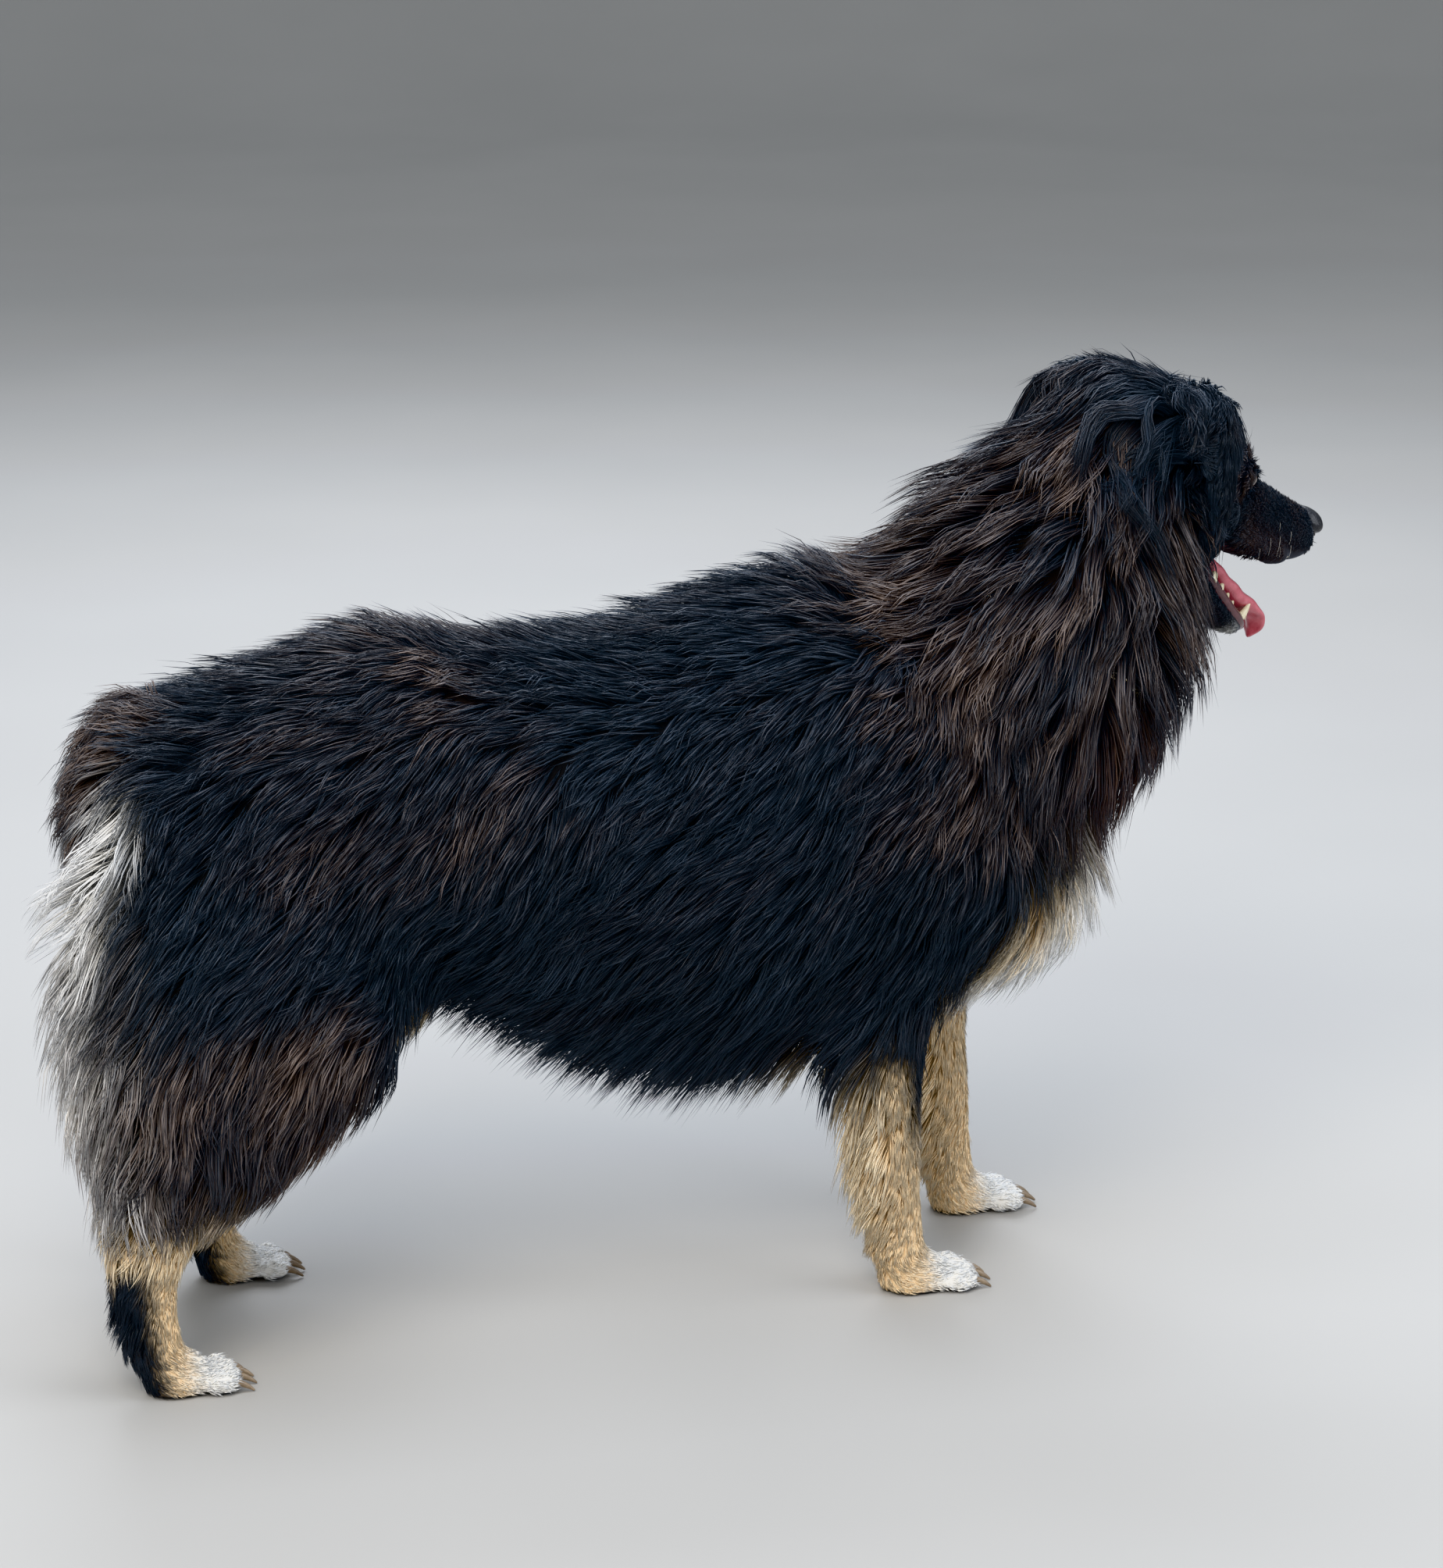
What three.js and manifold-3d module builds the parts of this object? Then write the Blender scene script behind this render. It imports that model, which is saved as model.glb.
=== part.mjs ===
// A long-coated, bob-tailed shepherd dog, life size, standing still with its head turned to its left
// and its mouth open. Every solid reaches out to the tips of the coat. Millimetres, +X towards the
// chest, +Y to the dog's left, +Z up, with the paws standing on Z = 0.
import * as THREE from "three";
import { mergeVertices } from "three/addons/utils/BufferGeometryUtils.js";
import Module from "manifold-3d";

const wasm = await Module();
wasm.setup();

// ---- Driving dimensions ----
const GAP = 0.3; // clear space between neighbouring solids
const SLIVER = 0.12; // details smaller than this are merged away
const FORE_PAWS = [302, 75]; // middle of the two fore paws along X, and half the space between them
const HIND_PAWS = [-302, 104]; // the same for the hind paws
const FORE_STAGGER = 48; // how far the left paw stands ahead of that middle and the right one behind
const HIND_STAGGER = 40;
const FORE_PAW = [47, 29]; // half length and half width
const HIND_PAW = [43, 26];
const HEAD_PLACE = [500, 40, 634]; // middle of the skull
const HEAD_TURN = 20; // degrees, to the dog's left
const HEAD_DROP = 27; // degrees, nose down
const JAW_HINGE = [0, 0, -42]; // in the head's own frame
const JAW_OPEN = 22; // degrees
const GUM_LINE = -40; // height of the upper gum in the head's own frame
const EYE_RADIUS = 10.5;
const EYE_PLACE = [48, 28, 6]; // left eye, in the head's own frame
const EYE_GAZE = 32; // degrees outwards
const COLLAR_WIRE = 2.4; // half the thickness of the chain
const COLLAR_INSET = 7; // how far it lies below the tips of the coat
const COLLAR_STATION = 2; // the station of the neck it goes round
const COLLAR_STEPS = 24; // lengths of chain round the neck
const GROOVE_RADIUS = 8; // half the width of the furrow it lies in
const HEAD_PLANE = [0.5, 0, 0.866]; // the way the cut between neck and head faces, in the head's own frame
const HEAD_PLANE_THROUGH = [-50, 0, -20]; // and a point on it
const NECK_PLANE = [0.81, 0, 0.586]; // the way the cut between trunk and neck faces
const NECK_PLANE_AT = 512; // and its distance from the origin

const X = new THREE.Vector3(1, 0, 0);
const Z = new THREE.Vector3(0, 0, 1);
const degrees = THREE.MathUtils.degToRad;

// ---- Materials: the dog's own colours ----
function finish(color, roughness) {
  return new THREE.MeshStandardMaterial({ color, roughness, metalness: 0 });
}
const BLACK_COAT = finish("#17161a", 0.75);
const TAN_COAT = finish("#b98a58", 0.8);
const PALE_COAT = finish("#e6dccb", 0.85);
const NOSE_LEATHER = finish("#1d1c20", 0.45);
const EYE_BROWN = finish("#3a2010", 0.1);
const TONGUE_PINK = finish("#c4606a", 0.4);
const TOOTH_IVORY = finish("#e9e0c4", 0.3);
const CLAW_HORN = finish("#4a4038", 0.5);
const STEEL = new THREE.MeshStandardMaterial({ color: "#b9bcc0", roughness: 0.25, metalness: 1 });

// ---- Solid making ----
/** A closed geometry as a solid for cutting and joining. */
function solidOf(geometry) {
  const bare = geometry.clone();
  bare.deleteAttribute("normal");
  bare.deleteAttribute("uv");
  const merged = mergeVertices(bare, 1e-3);
  const triangles = dropFlat(merged.index.array);
  return new wasm.Manifold(
    new wasm.Mesh({
      numProp: 3,
      vertProperties: merged.attributes.position.array,
      triVerts: new Uint32Array(triangles),
    }),
  );
}

/** The triangles that still have three different corners. */
function dropFlat(index) {
  const kept = [];
  for (let i = 0; i < index.length; i += 3) {
    const [a, b, c] = [index[i], index[i + 1], index[i + 2]];
    if (a !== b && b !== c && c !== a) kept.push(a, b, c);
  }
  return kept;
}

/** A solid's surface as a geometry for a mesh. */
function geometryOf(solid) {
  const found = solid.simplify(SLIVER).getMesh();
  const geometry = new THREE.BufferGeometry();
  geometry.setAttribute("position", new THREE.BufferAttribute(found.vertProperties, 3));
  geometry.setIndex(new THREE.BufferAttribute(found.triVerts, 1));
  geometry.computeVertexNormals();
  return geometry;
}

/** The largest of a solid's separate bodies. */
function largest(solid) {
  const bodies = solid.decompose();
  return bodies.reduce((best, body) => (body.volume() > best.volume() ? body : best));
}

/** A named mesh from a solid or a geometry. */
function piece(name, shape, material) {
  const geometry = shape.isBufferGeometry ? shape : geometryOf(shape);
  const mesh = new THREE.Mesh(geometry, material);
  mesh.name = name;
  return mesh;
}

/** The signed power that turns a circle into a rounder or squarer section. */
function squared(value, power) {
  return Math.sign(value) * Math.abs(value) ** (2 / power);
}

/** How much a section shrinks towards a rounded end, at a share t of the length. */
function endRounding(t, [start, end]) {
  const fromStart = start > 0 ? Math.min(1, t / start) : 1;
  const fromEnd = end > 0 ? Math.min(1, (1 - t) / end) : 1;
  return Math.sqrt((1 - (1 - fromStart) ** 2) * (1 - (1 - fromEnd) ** 2));
}

/**
 * A closed body along a smooth line. A station is [x, y, z, half width, reach above, reach below],
 * where above is the way that `up` points, square to the line. With `facing`, every section is
 * square to that one direction instead of to the line.
 */
function loft(stations, { rings, sides, up = Z, facing, power = 2, ends = [0.12, 0.12], grow = 0 }) {
  const line = new THREE.CatmullRomCurve3(
    stations.map(([x, y, z]) => new THREE.Vector3(x, y, z)),
    false,
    "catmullrom",
  );
  const sizes = new THREE.CatmullRomCurve3(
    stations.map(([, , , half, above, below]) => new THREE.Vector3(half, above, below)),
    false,
    "catmullrom",
  );
  const geometry = new THREE.SphereGeometry(1, sides, rings);
  const place = geometry.attributes.position;
  for (let ring = 0; ring <= rings; ring++) {
    const even = ring / rings;
    const t = 0.5 * even + 0.25 * (1 - Math.cos(Math.PI * even)); // closer rings at both ends
    const ahead = facing || line.getTangent(t);
    const left = new THREE.Vector3().crossVectors(up, ahead).normalize();
    const top = new THREE.Vector3().crossVectors(ahead, left);
    const size = sizes.getPoint(t);
    const share = endRounding(t, ends);
    const atEnd = ring === 0 || ring === rings;
    const overrun = ring === 0 ? -grow : atEnd ? grow : 0;
    const extra = atEnd ? 0 : grow;
    const middle = line.getPoint(t).addScaledVector(ahead, overrun);
    for (let side = 0; side <= sides; side++) {
      const angle = (-2 * Math.PI * (side % sides)) / sides;
      const across = squared(Math.cos(angle), power) * (size.x * share + extra);
      const rise = squared(Math.sin(angle), power);
      const height = rise * ((rise > 0 ? size.y : size.z) * share + extra);
      const at = middle.clone().addScaledVector(left, across).addScaledVector(top, height);
      place.setXYZ(ring * (sides + 1) + side, at.x, at.y, at.z);
    }
  }
  return solidOf(geometry);
}

/** An ellipsoid with its half axes and middle. */
function egg(half, middle, sides = 12, rings = 8) {
  const geometry = new THREE.SphereGeometry(1, sides, rings);
  geometry.scale(...half).translate(...middle);
  return solidOf(geometry);
}

/** A box that spans two corners. */
function block(low, high) {
  const size = high.map((value, i) => value - low[i]);
  const geometry = new THREE.BoxGeometry(...size);
  geometry.translate(...high.map((value, i) => (value + low[i]) / 2));
  return solidOf(geometry);
}

/** The solid moved by a matrix. */
function moved(solid, matrix) {
  return solid.transform(matrix.elements);
}

const BELOW_GROUND = block([-900, -400, -200], [900, 400, 0]);

// ---- Trunk: chest, back and belly fringe ----
const TRUNK = [
  [-408, 0, 425, 60, 40, 74],
  [-374, 0, 412, 106, 92, 116],
  [-310, 0, 405, 128, 120, 134],
  [-240, 0, 405, 136, 142, 142],
  [-160, 0, 405, 138, 164, 152],
  [-90, 0, 400, 142, 152, 162],
  [0, 0, 385, 146, 168, 206],
  [80, 0, 380, 148, 190, 224],
  [150, 0, 380, 150, 214, 224],
  [220, 0, 378, 150, 208, 196],
  [290, 0, 370, 146, 172, 162],
  [345, 0, 355, 130, 150, 142],
  [392, 0, 335, 104, 118, 98],
  [425, 0, 318, 70, 76, 60],
];
function trunk(grow = 0) {
  return loft(TRUNK, { rings: 20, sides: 20, facing: X, power: 2.15, ends: [0.07, 0.07], grow });
}

// ---- Neck with its ruff ----
const NECK = [
  [270, 0, 366, 130, 144, 110],
  [320, 0, 440, 142, 152, 140],
  [362, 6, 508, 148, 160, 154],
  [404, 14, 566, 130, 140, 134],
  [452, 26, 610, 96, 128, 108],
  [500, 38, 632, 62, 94, 80],
];
function neck(grow = 0) {
  return loft(NECK, { rings: 11, sides: 18, ends: [0.16, 0.16], grow });
}

/** A closed tube round the neck, below the tips of the coat. */
function ring(inset, radius, sides) {
  const share = COLLAR_STATION / (NECK.length - 1);
  const [x, y, z, half, above, below] = NECK[COLLAR_STATION];
  const line = new THREE.CatmullRomCurve3(NECK.map(([a, b, c]) => new THREE.Vector3(a, b, c)));
  const ahead = line.getTangent(share);
  const left = new THREE.Vector3().crossVectors(Z, ahead).normalize();
  const top = new THREE.Vector3().crossVectors(ahead, left);
  const points = [];
  for (let step = 0; step < COLLAR_STEPS; step++) {
    const angle = (2 * Math.PI * step) / COLLAR_STEPS;
    const rise = Math.sin(angle);
    points.push(
      new THREE.Vector3(x, y, z)
        .addScaledVector(left, Math.cos(angle) * (half - inset))
        .addScaledVector(top, rise * ((rise > 0 ? above : below) - inset)),
    );
  }
  const loop = new THREE.CatmullRomCurve3(points, true);
  return solidOf(new THREE.TubeGeometry(loop, COLLAR_STEPS, radius, sides, true));
}
/** The furrow in the coat that the collar lies in. */
function groove() {
  return ring(COLLAR_INSET - GROOVE_RADIUS / 2, GROOVE_RADIUS, 6);
}

// ---- Tail: a short bob under a tuft ----
const TAIL = [
  [-318, 0, 518, 34, 26, 44],
  [-336, 0, 494, 44, 42, 50],
  [-348, 0, 456, 46, 50, 50],
  [-356, 0, 420, 42, 50, 40],
  [-362, 0, 384, 28, 38, 30],
];
const TAIL_WAY = new THREE.Vector3(-0.45, 0, -0.9).normalize();
const REAR = new THREE.Vector3(-1, 0, 0);
function tail(grow = 0) {
  return loft(TAIL, { rings: 9, sides: 12, up: REAR, facing: TAIL_WAY, ends: [0.3, 0.25], grow });
}

// ---- Hind leg: thigh with its breeches, then hock; X from the middle of its paw ----
const THIGH = [
  [20, 60, 480, 56, 80, 96],
  [42, 68, 400, 74, 130, 136],
  [48, 78, 320, 80, 144, 150],
  [36, 88, 245, 74, 152, 138],
  [14, 94, 190, 60, 124, 106],
  [-6, 99, 146, 42, 84, 64],
  [-26, 102, 104, 27, 30, 40],
];
const HOCK = [
  [-22, 102, 122, 22, 22, 26],
  [-26, 102, 100, 22, 24, 29],
  [-36, 103, 60, 21, 25, 29],
  [-36, 104, 18, 24, 32, 28],
];
const DOWN = new THREE.Vector3(0, 0, -1);
function thigh(grow = 0) {
  return loft(THIGH, { rings: 11, sides: 14, up: X, facing: DOWN, ends: [0.2, 0.12], grow });
}
function hock(grow = 0) {
  return loft(HOCK, { rings: 6, sides: 10, up: X, facing: DOWN, ends: [0.2, 0.25], grow });
}

// ---- Foreleg; X from the middle of its paw ----
const FORELEG = [
  [-40, 82, 290, 34, 40, 62],
  [-42, 82, 240, 38, 40, 76],
  [-42, 81, 180, 36, 36, 70],
  [-38, 79, 120, 29, 31, 52],
  [-37, 77, 60, 25, 27, 36],
  [-36, 75, 18, 26, 34, 30],
];
function foreleg(grow = 0) {
  return loft(FORELEG, { rings: 9, sides: 12, up: X, facing: DOWN, ends: [0.14, 0.2], grow });
}

// ---- Paw: a flat-soled pad and four toes ----
const TOES = [-1.5, -0.5, 0.5, 1.5];
function toePlace(toe, [length, width]) {
  const inner = 1 - 0.16 * toe * toe;
  return [length * (0.3 + 0.3 * inner), toe * width * 0.5, 8];
}
function paw([length, width], grow = 0) {
  const heel = egg([length * 0.68 + grow, width * 0.9 + grow, 27 + grow], [-length * 0.22, 0, 8], 8, 5);
  const toes = TOES.map((toe) =>
    egg([length * 0.36 + grow, width * 0.3 + grow, 12 + grow], toePlace(toe, [length, width]), 6, 4),
  );
  return wasm.Manifold.union([heel, ...toes]).subtract(BELOW_GROUND);
}
function claw(toe, [length, width], grow = 0) {
  const [x, y, z] = toePlace(toe, [length, width]);
  const tip = x + length * 0.36;
  const stations = [
    [tip - 8, y, z + 1, 3.2, 3.2, 3.2],
    [tip + 2, y, z - 1, 2.6, 2.8, 2.8],
    [tip + 8, y, z - 7, 1.2, 1.4, 1.4],
  ];
  return loft(stations, { rings: 3, sides: 4, ends: [0.2, 0.4], grow });
}

// ---- Head, in its own frame: +X to the nose, +Z to the crown ----
const CRANIUM = [
  [-150, 0, -12, 44, 40, 44],
  [-120, 0, -10, 60, 56, 60],
  [-80, 0, -10, 68, 62, 66],
  [-40, 0, -12, 68, 69, 64],
  [-4, 0, -14, 64, 72, 60],
  [26, 0, -14, 54, 62, 52],
  [46, 0, -14, 40, 46, 42],
  [62, 0, -14, 26, 30, 28],
];
const MUZZLE = [
  [0, 0, -18, 48, 34, 34],
  [44, 0, -18, 41, 36, 34],
  [72, 0, -17, 33, 33, 32],
  [104, 0, -17, 29, 31, 32],
  [134, 0, -14, 26, 27, 27],
  [152, 0, -10, 22, 23, 22],
  [164, 0, -7, 17, 17, 15],
];
const MOUTH_ROOF = [
  [24, 0, -52, 22, 22, 24],
  [70, 0, -50, 22, 20, 24],
  [110, 0, -48, 20, 18, 24],
  [158, 0, -44, 14, 15, 22],
];
const JAW = [
  [-6, 0, -22, 42, 16, 20],
  [30, 0, -21, 36, 15, 16],
  [64, 0, -20, 30, 14, 14],
  [95, 0, -18, 25, 12, 13],
  [122, 0, -12, 21, 11, 12],
  [144, 0, -5, 14, 8, 10],
];
const TONGUE = [
  [20, 0, -4, 17, 9, 12],
  [56, 0, 0, 19, 9, 12],
  [92, 0, 6, 19, 8, 10],
  [122, 0, 13, 19, 6, 7],
  [146, 0, 21, 20, 5, 5],
  [160, 0, 19, 19, 4.5, 4.5],
  [163, 0, 8, 13, 4, 4],
];
const EAR = [
  [-56, 42, 36, 32, 9, 9],
  [-54, 62, 42, 37, 8, 8],
  [-47, 78, 24, 37, 6.5, 6.5],
  [-34, 85, -6, 30, 6, 6],
  [-19, 86, -32, 18, 5, 5],
  [-5, 83, -56, 7, 4, 4],
];

function skull(grow = 0) {
  const cranium = loft(CRANIUM, { rings: 11, sides: 14, facing: X, ends: [0.12, 0.12], grow });
  const muzzle = loft(MUZZLE, { rings: 11, sides: 14, facing: X, power: 2.5, ends: [0.1, 0.1], grow });
  const [x, y, z] = EYE_PLACE;
  const orbits = [-1, 1].map((side) =>
    egg([17 + grow, 14 + grow, 14 + grow], [x - 5, side * (y - 2), z + 2], 8, 6),
  );
  return wasm.Manifold.union([cranium, muzzle, ...orbits]);
}
/** The gap between the lids of the left eye. */
function lidGap() {
  return egg([12, 11, 7], [0, 0, 0], 8, 4)
    .translate([9, 0, 0])
    .rotate([0, 0, EYE_GAZE])
    .translate(EYE_PLACE);
}
function mouthRoof() {
  return loft(MOUTH_ROOF, { rings: 6, sides: 8, power: 2.4 });
}
function nose(grow = 0) {
  const pad = loft(
    [
      [150, 0, 3, 15, 10, 13],
      [160, 0, 2, 17, 12, 15],
      [171, 0, 0, 14, 10, 13],
    ],
    { rings: 6, sides: 10, power: 2.3, ends: [0.2, 0.5], grow },
  );
  return pad;
}
function eye(grow = 0) {
  const [x, y, z] = EYE_PLACE;
  const r = EYE_RADIUS + grow;
  return egg([r, r, r], [x, y, z], 9, 6);
}
function jaw(grow = 0) {
  return loft(JAW, { rings: 8, sides: 12, power: 2.3, ends: [0.15, 0.16], grow });
}
function tongue(grow = 0) {
  return loft(TONGUE, { rings: 11, sides: 8, power: 2.4, ends: [0.1, 0.18], grow });
}
function ear(grow = 0) {
  return loft(EAR, { rings: 9, sides: 12, up: new THREE.Vector3(0, 1, 1), ends: [0.1, 0.25], grow });
}

// ---- Teeth ----
/** A pointed tooth from its root, reaching up or down. */
function tooth([x, y, z], reach, half, lean) {
  const stations = [0, 0.4, 0.75, 1].map((t) => {
    const size = half * (1 - 0.8 * t * t);
    return [x + lean * t * t, y, z + reach * t, size * 0.8, size, size];
  });
  return loft(stations, { rings: 4, sides: 6, up: X, ends: [0.1, 0.2] });
}
/** A row of small teeth across the front of a jaw. */
function incisors([x, z], half) {
  const stations = [-1, -0.5, 0.5, 1].map((t) => [x - 5 * t * t, half * t, z, 2.2, 3.6, 3.6]);
  return loft(stations, { rings: 5, sides: 6, power: 2.8, ends: [0.08, 0.08] });
}
/** The cheek teeth of one side as a row. */
function cheekTeeth([from, to], [yFrom, yTo], [zFrom, zTo]) {
  const stations = [0, 0.33, 0.67, 1].map((t) => [
    from + (to - from) * t,
    yFrom + (yTo - yFrom) * t,
    zFrom + (zTo - zFrom) * t,
    2.4,
    4.2,
    4.2,
  ]);
  return loft(stations, { rings: 4, sides: 6, ends: [0.12, 0.12] });
}
function lowerTeeth() {
  const made = { teeth_lower_front: incisors([143, 3], 8) };
  for (const [side, sign] of [["left", 1], ["right", -1]]) {
    made["tooth_lower_" + side] = tooth([128, 14.5 * sign, -4], 17, 4.2, -2);
    made["teeth_lower_" + side] = cheekTeeth([62, 116], [24 * sign, 20 * sign], [-6, -3]);
  }
  return made;
}
function upperTeeth() {
  const made = { teeth_upper_front: incisors([152, -30], 9) };
  for (const [side, sign] of [["left", 1], ["right", -1]]) {
    made["tooth_upper_" + side] = tooth([136, 15 * sign, -28], -15, 4.2, -3);
  }
  return made;
}

// ---- Head and jaw, in place ----
const headFrame = new THREE.Matrix4().compose(
  new THREE.Vector3(...HEAD_PLACE),
  new THREE.Quaternion().setFromEuler(new THREE.Euler(0, degrees(HEAD_DROP), degrees(HEAD_TURN), "ZYX")),
  new THREE.Vector3(1, 1, 1),
);
const jawFrame = headFrame.clone().multiply(
  new THREE.Matrix4().compose(
    new THREE.Vector3(...JAW_HINGE),
    new THREE.Quaternion().setFromEuler(new THREE.Euler(0, degrees(JAW_OPEN), 0)),
    new THREE.Vector3(1, 1, 1),
  ),
);
const jawInHead = headFrame.clone().invert().multiply(jawFrame);

const mouth = wasm.Manifold.hull([mouthRoof(), moved(jaw(GAP), jawInHead)]);
const eyes = [eye(), eye().mirror([0, 1, 0])];
const sockets = [eye(GAP), lidGap(), eye(GAP).mirror([0, 1, 0]), lidGap().mirror([0, 1, 0])];
const skullSolid = wasm.Manifold.union([skull()]).subtract(
  wasm.Manifold.union([mouthRoof(), nose(GAP), ...sockets]),
);
const headClear = moved(skull(GAP).subtract(mouthRoof()), jawInHead.clone().invert());
const jawSolid = jaw().subtract(tongue(GAP)).subtract(headClear);
const tongueSolid = tongue().subtract(headClear);

const dog = new THREE.Group();
function add(name, shape, material) {
  dog.add(piece(name, shape, material));
}

// ---- Trunk, neck and head are one body, cut across by two planes ----
const neckClear = neck().subtract(moved(mouth, headFrame));
const inHead = [nose(GAP), ear(GAP), ear(GAP).mirror([0, 1, 0]), ...sockets];
const body = wasm.Manifold.union([trunk(), neckClear, moved(skullSolid, headFrame)])
  .subtract(groove())
  .subtract(tail(GAP))
  .subtract(moved(wasm.Manifold.union(inHead), headFrame))
  .subtract(moved(jaw(GAP).subtract(headClear), jawFrame));
const headPlane = new THREE.Vector3(...HEAD_PLANE).transformDirection(headFrame);
const headPlaneAt = headPlane.dot(new THREE.Vector3(...HEAD_PLANE_THROUGH).applyMatrix4(headFrame));
const [forward, trunkSolid] = body.splitByPlane(NECK_PLANE, NECK_PLANE_AT);
const fromNeck = forward.trimByPlane(NECK_PLANE, NECK_PLANE_AT + GAP);
const [headSolid, neckSolid] = fromNeck.splitByPlane(headPlane.toArray(), headPlaneAt);
add("trunk", largest(trunkSolid), BLACK_COAT);
add("neck", largest(neckSolid), BLACK_COAT);
add("head", largest(headSolid.trimByPlane(headPlane.toArray(), headPlaneAt + GAP)), BLACK_COAT);
add("nose", moved(nose(), headFrame), NOSE_LEATHER);
add("eye_left", moved(eyes[0], headFrame), EYE_BROWN);
add("eye_right", moved(eyes[1], headFrame), EYE_BROWN);
add("ear_left", moved(ear(), headFrame), BLACK_COAT);
add("ear_right", moved(ear().mirror([0, 1, 0]), headFrame), BLACK_COAT);
add("jaw", moved(largest(jawSolid), jawFrame), BLACK_COAT);
add("tongue", moved(largest(tongueSolid), jawFrame), TONGUE_PINK);
add("collar", ring(COLLAR_INSET, COLLAR_WIRE, 5), STEEL);
for (const [name, shape] of Object.entries(lowerTeeth())) {
  add(name, moved(largest(shape.subtract(jaw(GAP)).subtract(tongue(GAP))), jawFrame), TOOTH_IVORY);
}
const upperGum = skullSolid.add(skull().trimByPlane([0, 0, 1], GUM_LINE));
for (const [name, shape] of Object.entries(upperTeeth())) {
  add(name, moved(largest(shape.subtract(upperGum)), headFrame), TOOTH_IVORY);
}
add("tail", tail(), BLACK_COAT);

for (const [side, sign] of [["left", 1], ["right", -1]]) {
  const fore = [FORE_PAWS[0] + sign * FORE_STAGGER, 0, 0];
  const hind = [HIND_PAWS[0] + sign * HIND_STAGGER, 0, 0];
  const place = (solid, at) => (sign < 0 ? solid.mirror([0, 1, 0]) : solid).translate(at);
  const forePaw = paw(FORE_PAW).translate([0, FORE_PAWS[1], 0]);
  const forePawClear = paw(FORE_PAW, GAP).translate([0, FORE_PAWS[1], 0]);
  const hindPaw = paw(HIND_PAW).translate([0, HIND_PAWS[1], 0]);
  const hindPawClear = paw(HIND_PAW, GAP).translate([0, HIND_PAWS[1], 0]);
  const forelegSolid = place(foreleg().subtract(forePawClear), fore).subtract(trunk(GAP));
  add("foreleg_" + side, largest(forelegSolid), TAN_COAT);
  add("thigh_" + side, largest(place(thigh(), hind).subtract(trunk(GAP))), BLACK_COAT);
  add("hock_" + side, largest(place(hock().subtract(hindPawClear).subtract(thigh(GAP)), hind)), TAN_COAT);
  add("fore_paw_" + side, place(forePaw, fore), PALE_COAT);
  add("hind_paw_" + side, place(hindPaw, hind), PALE_COAT);
  for (const [i, toe] of TOES.entries()) {
    const foreClaw = claw(toe, FORE_PAW).translate([0, FORE_PAWS[1], 0]).subtract(forePawClear);
    const hindClaw = claw(toe, HIND_PAW).translate([0, HIND_PAWS[1], 0]).subtract(hindPawClear);
    add("fore_claw_" + side + "_" + (i + 1), largest(place(foreClaw, fore)), CLAW_HORN);
    add("hind_claw_" + side + "_" + (i + 1), largest(place(hindClaw, hind)), CLAW_HORN);
  }
}

// ---- The middle of the underside of the whole dog's box is the origin ----
dog.updateMatrixWorld(true);
const box = new THREE.Box3().setFromObject(dog);
dog.position.set(-(box.min.x + box.max.x) / 2, -(box.min.y + box.max.y) / 2, -box.min.z);

export default dog;
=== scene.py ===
"""A long-coated, bob-tailed shepherd dog, life size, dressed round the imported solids.

The skin lies inside the solids by the coat's depth and takes their place. Eyes, nose, tongue, teeth,
claws and collar are pieces of their own. The coat is mesh: every tuft is a thin closed blade that
follows the lie of the hair, and its colours come from the same markings as the skin. Metres.
"""

from __future__ import annotations

import logging
import math
from dataclasses import dataclass, field
from enum import Enum

import bmesh
import bpy
import numpy as np
from mathutils import Matrix, Vector
from mathutils.bvhtree import BVHTree
from mathutils.kdtree import KDTree


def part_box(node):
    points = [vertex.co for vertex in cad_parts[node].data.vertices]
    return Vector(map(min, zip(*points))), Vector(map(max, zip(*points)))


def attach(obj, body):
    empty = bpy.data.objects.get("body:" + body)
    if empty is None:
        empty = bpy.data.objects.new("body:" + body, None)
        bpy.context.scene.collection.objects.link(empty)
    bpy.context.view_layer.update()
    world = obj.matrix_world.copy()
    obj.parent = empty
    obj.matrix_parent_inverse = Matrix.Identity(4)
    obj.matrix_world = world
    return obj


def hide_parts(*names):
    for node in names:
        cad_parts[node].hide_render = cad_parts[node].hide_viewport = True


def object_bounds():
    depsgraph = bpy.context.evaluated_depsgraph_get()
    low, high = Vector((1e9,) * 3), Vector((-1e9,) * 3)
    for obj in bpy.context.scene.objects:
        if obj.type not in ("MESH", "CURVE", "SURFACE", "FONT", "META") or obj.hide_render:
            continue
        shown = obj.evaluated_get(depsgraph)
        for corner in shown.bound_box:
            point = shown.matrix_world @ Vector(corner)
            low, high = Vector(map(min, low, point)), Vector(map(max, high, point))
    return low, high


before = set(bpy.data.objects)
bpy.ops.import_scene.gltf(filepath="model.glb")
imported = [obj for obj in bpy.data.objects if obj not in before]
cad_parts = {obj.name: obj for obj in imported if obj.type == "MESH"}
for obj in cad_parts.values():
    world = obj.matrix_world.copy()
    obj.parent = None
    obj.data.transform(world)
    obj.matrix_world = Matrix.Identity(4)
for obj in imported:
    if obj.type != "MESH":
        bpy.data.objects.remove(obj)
CAD_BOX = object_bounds()

LOG = logging.getLogger("dog")
BODY = "root"
BAKE_MAP = "OFBake"
SEED = 7
# How a node mixes two colours, and its output.
RGBA = {"data_type": "RGBA", "out": 2}

Array = np.ndarray
Chance = np.random.Generator
Material = bpy.types.Material
Mesh = bpy.types.Mesh
Piece = bpy.types.Object
Place = tuple[float, float, float]
Shape = bmesh.types.BMesh
Socket = bpy.types.NodeSocket
Tree = bpy.types.NodeTree


# ---- small tools


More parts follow.
